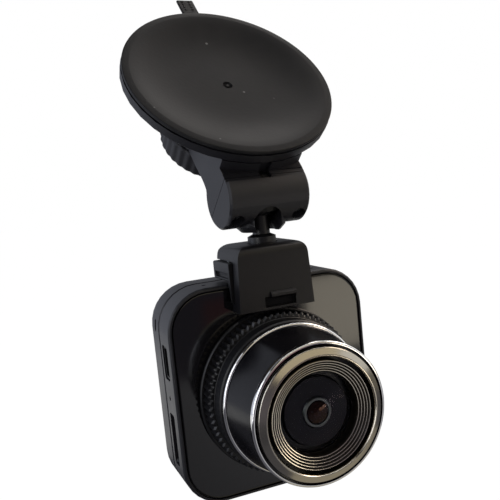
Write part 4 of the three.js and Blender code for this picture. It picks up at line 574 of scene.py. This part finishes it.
knob = revolved([
    (KNOB_BORE_R, KNOB_FRONT), *edge(KNOB_R, KNOB_FRONT, KNOB_FRONT_EDGE),
    *edge(KNOB_R, KNOB_BACK, KNOB_BACK_EDGE), *edge(KNOB_WELL_R, KNOB_BACK, KNOB_WELL_EDGE),
    (KNOB_WELL_R, KNOB_WELL_FLOOR), (KNOB_BORE_R, KNOB_WELL_FLOOR),
], KNOB_RIBS * len(RIB_SHARES))
rib_step = 2 * math.pi / (KNOB_RIBS * len(RIB_SHARES))
for vert in knob.verts:
    if vert.co.xy.length > KNOB_R - RIBBED_WIDTH:
        place_in_rib = round(math.atan2(vert.co.y, vert.co.x) / rib_step) % len(RIB_SHARES)
        vert.co.xy *= 1 - RIB_HEIGHT * RIB_SHARES[place_in_rib] / KNOB_R

# Each cam starts almost flush with the well's floor and climbs out of it over a quarter turn.
CAM_START_DEG = -22.0
CAM_TURN_DEG = -90.0
CAM_RISE = 1.2
CAM_STEPS = 24
CAM_ROOT = 0.9
CAM_PROUD = 0.02
CAM_IN_WALL = 0.1
CAM_BORE_GAP = 0.3
cam_inner = KNOB_BORE_R + CAM_BORE_GAP
cam_outer = KNOB_WELL_R + CAM_IN_WALL
cam_root = KNOB_WELL_FLOOR + CAM_ROOT
cam_face = KNOB_WELL_FLOOR - CAM_PROUD
for half_turn in (0.0, 180.0):
    lead = Matrix.Rotation(math.radians(half_turn + CAM_START_DEG), 4, "Z")
    foot = [knob.verts.new(lead @ Vector((r, 0.0, h)))
            for r, h in ((cam_inner, cam_root), (cam_outer, cam_root),
                         (cam_outer, cam_face), (cam_inner, cam_face))]
    start = knob.faces.new(foot)
    bmesh.ops.spin(knob, geom=[start, *start.verts, *start.edges], cent=(0, 0, 0),
                   axis=(0, 0, 1), dvec=(0, 0, -CAM_RISE / CAM_STEPS),
                   angle=math.radians(CAM_TURN_DEG), steps=CAM_STEPS, use_merge=False)
knob_abs = fine_grained("moulded_knob_abs", "#1d1d23", roughness=0.58, grain_height_mm=0.05)
finished(knob, "ribbed_lock_knob", CUP_PLACE, knob_abs, "lock_knob")


# The steel inside the mount: the pull rod and its cross pin, screws, springs and pins. Turned or
# wound from plain steel and oiled, so it is grey, with a shine that is not quite even.
# The tool's marks are about 0.1 mm across; they are drawn at 0.3 mm so that they show.
STEEL_MARK_MM = 0.3
STEEL_SPREAD = 0.08


def turned_steel(name, colour, roughness):
    """Bare steel with the fine marks of a tool or a die."""
    material = bare_material(name, {"Metallic": 1.0, "Base Color": linear(colour)})
    uneven_polish(material, STEEL_MARK_MM, roughness, STEEL_SPREAD, detail=2.0)
    return material


def paint_nodes(nodes, material):
    """CAD nodes that keep their solids and take a material."""
    for node in nodes:
        mesh = frame["nodes"][node].data
        mesh.materials.clear()
        mesh.materials.append(material)


steel = turned_steel("turned_steel", "#8f9296", roughness=0.32)
paint_nodes(["pull_rod", "cam_pin", "clamp_screw_left", "clamp_screw_right", "stud_screw",
             "latch_pin", "cup_spring"], steel)


# The ball stud and its seats: a glass-filled nylon ball and stem, and two acetal seats that grip
# the ball inside the clamp. Both are moulded, the acetal the duller.
nylon = fine_grained("moulded_glass_filled_nylon", "#17171a", roughness=0.34,
                     grain_height_mm=0.04)
from_solid("ball_stud", "ball_and_stem", nylon)
acetal = fine_grained("moulded_acetal", "#0b0b0e", roughness=0.5, grain_height_mm=0.03)
paint_nodes(["ball_seat_upper", "ball_seat_lower"], acetal)


# The shoe, its release latch and the rail it grips: matt moulded ABS, darker than the camera's
# shells, with eased outer edges. The shoe is held to the stud by a screw from below.
SHOE_EASE_MM = 0.35
LATCH_EASE_MM = 0.2
shoe_abs = fine_grained("moulded_matt_abs", "#08070d", roughness=0.45, grain_height_mm=0.06)
shoe = from_solid("mount_shoe", "slide_on_shoe", shoe_abs, ease_mm=SHOE_EASE_MM)

# The pocket's floor under the pull bar is painted shade: a rough, coarse-grained coat that mirrors
# little, so the recess reads black.
BAR_PROUD = 0.7
POCKET_DEPTH = 1.2
POCKET_SLACK = 0.05
POCKET_FACING = 0.97
painted_shade_pocket = fine_grained("pocket_painted_shade_abs", "#0e0d12", roughness=0.7,
                          grain_height_mm=0.1, mirror=0.12)
shoe.data.materials.append(painted_shade_pocket)
pocket_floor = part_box("mount_shoe")[0].y + (BAR_PROUD + POCKET_DEPTH) * MM
# Only the faces of the pocket's floor take the painted shade.
for face in shoe.data.polygons:
    at_floor = abs(face.center.y - pocket_floor) < POCKET_SLACK * MM
    if at_floor and face.normal.y < -POCKET_FACING:
        face.material_index = 1
from_solid("release_latch", "latch_lever", shoe_abs, ease_mm=LATCH_EASE_MM)
from_solid("mount_rail", "top_rail", shoe_abs, ease_mm=LATCH_EASE_MM)

# The latch's coil spring stands across the shoe and shortens as the lever is pressed.
coil = from_solid("latch_spring", "latch_coil", steel)
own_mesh(coil)


# The camera's two shells: moulded ABS, satin, screwed together from behind. Ports and slots are
# cut through the left side of the front one.
SHELL_EASE_MM = 0.12
shell_abs = fine_grained("moulded_shell_abs", "#1e1e24", roughness=0.42, grain_height_mm=0.06)
from_solid("front_housing", "front_shell", shell_abs, ease_mm=SHELL_EASE_MM)
from_solid("rear_housing", "rear_shell", shell_abs, ease_mm=SHELL_EASE_MM)


# The front panel: a sheet of black acrylic, polished, let into the front shell. It shows almost
# nothing of its own colour, only what it mirrors.
SMEAR_MM = 22.0
ACRYLIC_ROUGHNESS = 0.08
ACRYLIC_SPREAD = 0.04
RIPPLE_HEIGHT_MM = 0.3

# A polished sheet has a slow ripple, which bends what it mirrors a little.
acrylic = bare_material("polished_black_acrylic", {"Base Color": linear("#0c0b0d"), "IOR": 1.49})
tree, shader, smear = uneven_polish(acrylic, SMEAR_MM, ACRYLIC_ROUGHNESS, ACRYLIC_SPREAD,
                                    detail=4.0)
ripple = add_node(tree, "ShaderNodeBump", {"Strength": 0.1, "Distance": RIPPLE_HEIGHT_MM * MM},
                  {"Height": smear})
tree.links.new(ripple.outputs[0], shader.inputs["Normal"])
from_solid("front_panel", "glossy_front_panel", acrylic)
from_solid("display_window", "display_cover", acrylic)


# The lens unit's grip ring: black moulded ABS with a flange, a band of fine teeth and a collar.
# It stands on the front shell, round the foot of the barrel.
LENS_DROP_MM = 0.9
body_low, body_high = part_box("front_housing")
lens_centre = Vector(((body_low.x + body_high.x) / 2, body_low.y,
                      (body_low.z + body_high.z) / 2 - LENS_DROP_MM * MM))
LENS_PLACE = (Matrix.Translation(lens_centre) @ Matrix.Rotation(math.radians(90), 4, "X")
              @ Matrix.Scale(MM, 4))

BARREL_R = 17.1
RING_GAP = 0.3
RING_BORE_R = BARREL_R - RING_GAP
LENS_SEAT = 0.3
FLANGE_R = 20.0
FLANGE_BACK_EDGE = ((0.3, 0.0), (0.0, 0.3))
FLANGE_FRONT_EDGE = ((0.0, -0.3), (0.25, 0.0))
GRIP_R = 19.4
GRIP_BACK = 1.6
GRIP_FRONT = 5.6
GRIP_EDGE = ((0.0, -0.5), (0.5, 0.0))
COLLAR_R = 18.0
COLLAR_FRONT = 9.2
COLLAR_ROOT = ((-0.1, 0.0), (0.0, 0.1))
COLLAR_EDGE = ((0.0, -0.3), (0.3, 0.0))
GRIP_TEETH = 76
TOOTH_DEPTH = 0.55
TOOTH_SHARES = (0.0, 0.0, 0.45, 1.0, 1.0, 0.45)
TOOTH_ROOM = 0.3
TOOTH_SLACK = 0.01

grip = revolved([
    (RING_BORE_R, LENS_SEAT), *edge(FLANGE_R, LENS_SEAT, FLANGE_BACK_EDGE),
    *edge(FLANGE_R, GRIP_BACK, FLANGE_FRONT_EDGE), (GRIP_R, GRIP_BACK),
    *edge(GRIP_R, GRIP_FRONT, GRIP_EDGE), *edge(COLLAR_R, GRIP_FRONT, COLLAR_ROOT),
    *edge(COLLAR_R, COLLAR_FRONT, COLLAR_EDGE), (RING_BORE_R, COLLAR_FRONT),
], GRIP_TEETH * len(TOOTH_SHARES))
tooth_step = 2 * math.pi / (GRIP_TEETH * len(TOOTH_SHARES))
for vert in grip.verts:
    radius = vert.co.xy.length
    in_band = COLLAR_R + TOOTH_ROOM < radius < GRIP_R + TOOTH_SLACK
    if in_band and vert.co.z > GRIP_BACK - TOOTH_SLACK:
        place_in_tooth = round(math.atan2(vert.co.y, vert.co.x) / tooth_step) % len(TOOTH_SHARES)
        vert.co.xy *= (radius - TOOTH_DEPTH * TOOTH_SHARES[place_in_tooth]) / radius
grip_abs = fine_grained("moulded_grip_abs", "#151518", roughness=0.36, grain_height_mm=0.03)
finished(grip, "toothed_grip_ring", LENS_PLACE, grip_abs, "lens_grip_ring")


# The bright ring at the barrel's root: polished metal under chrome plate, with its two outer
# edges rolled to a bead. It sits on the barrel in front of the collar.
HAZE_MM = 3.0
POLISH_SPREAD = 0.04


def polished_metal(name, colour, roughness):
    """Plated or bare metal with a polish that is not quite even."""
    material = bare_material(name, {"Metallic": 1.0, "Base Color": linear(colour)})
    uneven_polish(material, HAZE_MM, roughness, POLISH_SPREAD, detail=1.0)
    return material


ROLL_STEPS = 6


def banded(inner_r, outer_r, back, front, roll):
    """A turned ring's profile, its two outer edges rolled over to a bead."""
    points = [(inner_r, back)]
    for turn, height in ((-90, back + roll), (0, front - roll)):
        for i in range(ROLL_STEPS + 1):
            angle = math.radians(turn + 90 * i / ROLL_STEPS)
            points.append((outer_r - roll + roll * math.cos(angle),
                           height + roll * math.sin(angle)))
    return points + [(inner_r, front)]


LENS_STEPS = 160
TRIM_R = 17.65
TRIM_BACK = 9.5
TRIM_FRONT = 10.8
TRIM_ROLL = 0.5

chrome = polished_metal("polished_chrome_plate", "#e6e5e4", roughness=0.08)
trim = revolved(banded(RING_BORE_R, TRIM_R, TRIM_BACK, TRIM_FRONT, TRIM_ROLL), LENS_STEPS)
finished(trim, "chrome_root_ring", LENS_PLACE, chrome, "lens_trim_ring")


# The tapered barrel: one turned piece under a smooth baked black lacquer, necked where the grip
# and root rings sit on it, with a tail that reaches into the body and a mouth for the lens face.
NECK_R = RING_BORE_R - RING_GAP
BARREL_ROOT = TRIM_FRONT + RING_GAP
BARREL_ROOT_EDGE = ((0.1, 0.0), (0.0, 0.15))
BARREL_FRONT_R = 15.55
BARREL_FRONT = 21.0
BARREL_FRONT_EDGE = ((-0.02, -0.2), (0.15, 0.0))
BARREL_TAIL_R = 8.7
BARREL_TAIL = -6.5
TUBE_BORE_R = 7.9
BARREL_MOUTH_R = 14.2
BARREL_MOUTH_FLOOR = 19.6
PEEL_MM = 1.5
PEEL_HEIGHT_MM = 0.05

barrel = revolved([
    (TUBE_BORE_R, BARREL_TAIL), (BARREL_TAIL_R, BARREL_TAIL), (BARREL_TAIL_R, LENS_SEAT),
    (NECK_R, LENS_SEAT), (NECK_R, BARREL_ROOT), *edge(BARREL_R, BARREL_ROOT, BARREL_ROOT_EDGE),
    *edge(BARREL_FRONT_R, BARREL_FRONT, BARREL_FRONT_EDGE), (BARREL_MOUTH_R, BARREL_FRONT),
    (BARREL_MOUTH_R, BARREL_MOUTH_FLOOR), (TUBE_BORE_R, BARREL_MOUTH_FLOOR),
], LENS_STEPS)


def lacquered(name, colour, roughness, mirror=0.26):
    """A smooth black sprayed coat with a faint orange peel 1.5 mm across; on the funnel it is
    painted shade.
    """
    material = bare_material(name, {"Base Color": linear(colour), "IOR": 1.5,
                                    "Specular IOR Level": mirror})
    tree, shader, peel = uneven_polish(material, PEEL_MM, roughness, FINE_SPREAD, detail=1.0)
    bump = add_node(tree, "ShaderNodeBump", {"Strength": 0.05, "Distance": PEEL_HEIGHT_MM * MM},
                    {"Height": peel})
    tree.links.new(bump.outputs[0], shader.inputs["Normal"])
    return material


barrel_black = lacquered("black_baked_lacquer", "#0e0d11", roughness=0.22)
finished(barrel, "tapered_barrel", LENS_PLACE, barrel_black, "lens_barrel")


# The bright ring at the barrel's front: plated and rolled like the one at its root, it covers the
# joint between the barrel and the lens face.
RING_R = 15.85
RING_LIP_R = 15.3
RING_BACK = 21.3
RING_FRONT = 22.9
RING_ROLL = 0.45

front_ring = revolved(banded(RING_LIP_R, RING_R, RING_BACK, RING_FRONT, RING_ROLL), LENS_STEPS)
finished(front_ring, "chrome_front_ring", LENS_PLACE, chrome, "lens_front_ring")


# The lens face: a satin cone anodised a warm champagne, and inside it a funnel of five fine ridges.
# Both are turned aluminium. The ridges carry painted light: a dark coat is painted shade for their
# valleys, and a bright metal along each crest is a painted highlight.
FACE_BACK = 19.9
FACE_STEP_R = 13.9
FACE_STEP = 22.2
BEZEL_R = 14.65
BEZEL_EDGE = 23.4
BEZEL_IN_R = 12.7
BEZEL_TOP = 24.2
BEZEL_OUTER_ROUND = ((0.0, -0.35), (0.05, -0.18), (0.16, -0.06), (0.35, 0.0))
BEZEL_INNER_ROUND = ((-0.65, -0.26), (-0.45, -0.17), (-0.28, -0.17), (-0.13, -0.3),
                     (-0.04, -0.52), (0.0, -0.85))

champagne = polished_metal("champagne_anodised_aluminium", "#b2aca0", roughness=0.2)
cone = revolved([
    (BEZEL_IN_R, FACE_BACK), (FACE_STEP_R, FACE_BACK), (FACE_STEP_R, FACE_STEP),
    (BEZEL_R, FACE_STEP), *edge(BEZEL_R, BEZEL_EDGE, BEZEL_OUTER_ROUND),
    *edge(BEZEL_IN_R, BEZEL_TOP, BEZEL_INNER_ROUND),
], LENS_STEPS)
finished(cone, "champagne_cone", LENS_PLACE, champagne, "lens_bezel_cone")

RIDGE_OUT_R = 11.9
RIDGE_IN_R = 9.1
RIDGES = 5
RIDGE_TOP = 23.6
RIDGE_FALL = 0.28
RIDGE_HEIGHT = 0.45
RIDGE_CREST = ((0.0, -RIDGE_HEIGHT), (0.06, -0.12), (0.16, -0.01), (0.28, -0.04), (0.38, -0.2))
CREST_HIGHLIGHT_START = 0.02
CREST_HIGHLIGHT_END = 0.27
CREST_HIGHLIGHT_DEPTH = 0.3
ridge_pitch = (RIDGE_OUT_R - RIDGE_IN_R) / RIDGES
ridge_profile = [(RIDGE_IN_R, FACE_BACK), (RIDGE_OUT_R, FACE_BACK)]
for i in range(RIDGES):
    ridge_profile += edge(RIDGE_OUT_R - i * ridge_pitch, RIDGE_TOP - i * RIDGE_FALL, RIDGE_CREST)
ridge_profile += [(RIDGE_IN_R, RIDGE_TOP - RIDGES * RIDGE_FALL - RIDGE_HEIGHT)]
ridges = revolved(ridge_profile, LENS_STEPS)
# Faces along each crest take the bright metal as a painted highlight.
for face in ridges.faces:
    middle = face.calc_center_median()
    ridge = (RIDGE_OUT_R - middle.xy.length) / ridge_pitch
    crest = RIDGE_TOP - int(ridge) * RIDGE_FALL
    if CREST_HIGHLIGHT_START < ridge % 1 * ridge_pitch < CREST_HIGHLIGHT_END and middle.z > crest - CREST_HIGHLIGHT_DEPTH:
        face.material_index = 1
# The dark coat on the rest of the ridges is painted shade for their valleys.
funnel_painted_shade = lacquered("funnel_painted_shade_lacquer", "#17140f", roughness=0.3)
crest_highlight_metal = polished_metal("crest_painted_highlight_aluminium", "#ddd5c6", roughness=0.22)
funnel = finished(ridges, "ridged_funnel", LENS_PLACE, funnel_painted_shade, "lens_ridge_ring")
funnel.data.materials.append(crest_highlight_metal)


# The front element: domed optical glass, coated with magnesium fluoride a quarter of an orange
# wave thick. So it mirrors very little, and that little is blue, and the black throat behind it
# makes it read as dark.
glass = bare_material("coated_optical_glass", {
    "Base Color": linear("#0a0b0f"), "Roughness": 0.03, "IOR": 1.52, "Alpha": 0.1,
    "Thin Film Thickness": 110.0, "Thin Film IOR": 1.38,
})
GLASS_R = 9.0
GLASS_EDGE = 22.0
GLASS_RISE = 1.7
GLASS_THICK = 1.2
DOME_STEPS = 12
GLASS_STEPS = 96
dome = []
for i in range(DOME_STEPS + 1):
    share = i / DOME_STEPS
    dome.append((GLASS_R * share, GLASS_RISE * (1 - share ** 2)))
glass_profile = [(r, GLASS_EDGE - GLASS_THICK + rise) for r, rise in dome]
glass_profile += [(r, GLASS_EDGE + rise) for r, rise in reversed(dome)]
element = revolved(glass_profile, GLASS_STEPS)
finished(element, "front_element", LENS_PLACE, glass, "front_glass", even=False)


# Behind the glass: the black cell with its stepped throat, a retaining ring, the small inner
# element with its red-brown coating, and the rear group.
cell_black = lacquered("matt_black_cell_lacquer", "#27262c", roughness=0.6, mirror=0.06)
from_solid("lens_cell", "stepped_lens_cell", cell_black)
retainer = polished_metal("bare_retaining_ring", "#5c6061", roughness=0.3)
from_solid("iris_ring", "retaining_ring", retainer)
inner_coat = bare_material("red_brown_coated_glass", {
    "Base Color": linear("#0e0807"), "Roughness": 0.05, "IOR": 1.6,
    "Specular Tint": linear("#b98a7c"),
})
from_solid("inner_lens", "inner_element", inner_coat)
paint_nodes(["rear_lens_group"], cell_black)


# What the ports show: the power inlet's black nylon shell and tongue, the memory card in its
# stamped steel socket, and the reset plunger on its switch.
port_steel = turned_steel("stamped_port_steel", "#6d7074", roughness=0.35)
port_black = fine_grained("moulded_port_nylon", "#121214", roughness=0.5, grain_height_mm=0.03)
paint_nodes(["power_inlet_shell", "power_inlet_tongue", "memory_card", "reset_button"], port_black)
paint_nodes(["card_socket", "reset_switch"], port_steel)


# The rear face: five moulded ABS keys, the display behind its cover, and four slotted screws.
# The keys stand in the rear shell's holes, a shade paler than the shell.
key_abs = fine_grained("moulded_key_abs", "#2c2c30", roughness=0.4, grain_height_mm=0.04)
for key in ("power", "menu", "up", "ok", "down"):
    from_solid(key + "_button", key + "_key", key_abs)
paint_nodes([f"housing_screw_{i}" for i in range(1, 5)], steel)
paint_nodes(["display_panel"], acrylic)


# Inside the body: boards of glass-epoxy laminate under green solder mask, the battery, the sensor
# and the sound parts. None of it shows from outside.
MASK_GRAIN_MM = 1.2
mask_green = fine_grained("green_solder_mask", "#1d4a33", roughness=0.3,
                          grain_height_mm=0.05, grain_mm=MASK_GRAIN_MM)
foil = polished_metal("battery_foil", "#a9abad", roughness=0.3)
paint_nodes(["sensor_board", "main_board", "key_board_left", "key_board_right"], mask_green)
paint_nodes(["battery_cell"], foil)
paint_nodes(["microphone"], steel)
paint_nodes(["speaker"], port_black)
paint_nodes(["image_sensor"], inner_coat)
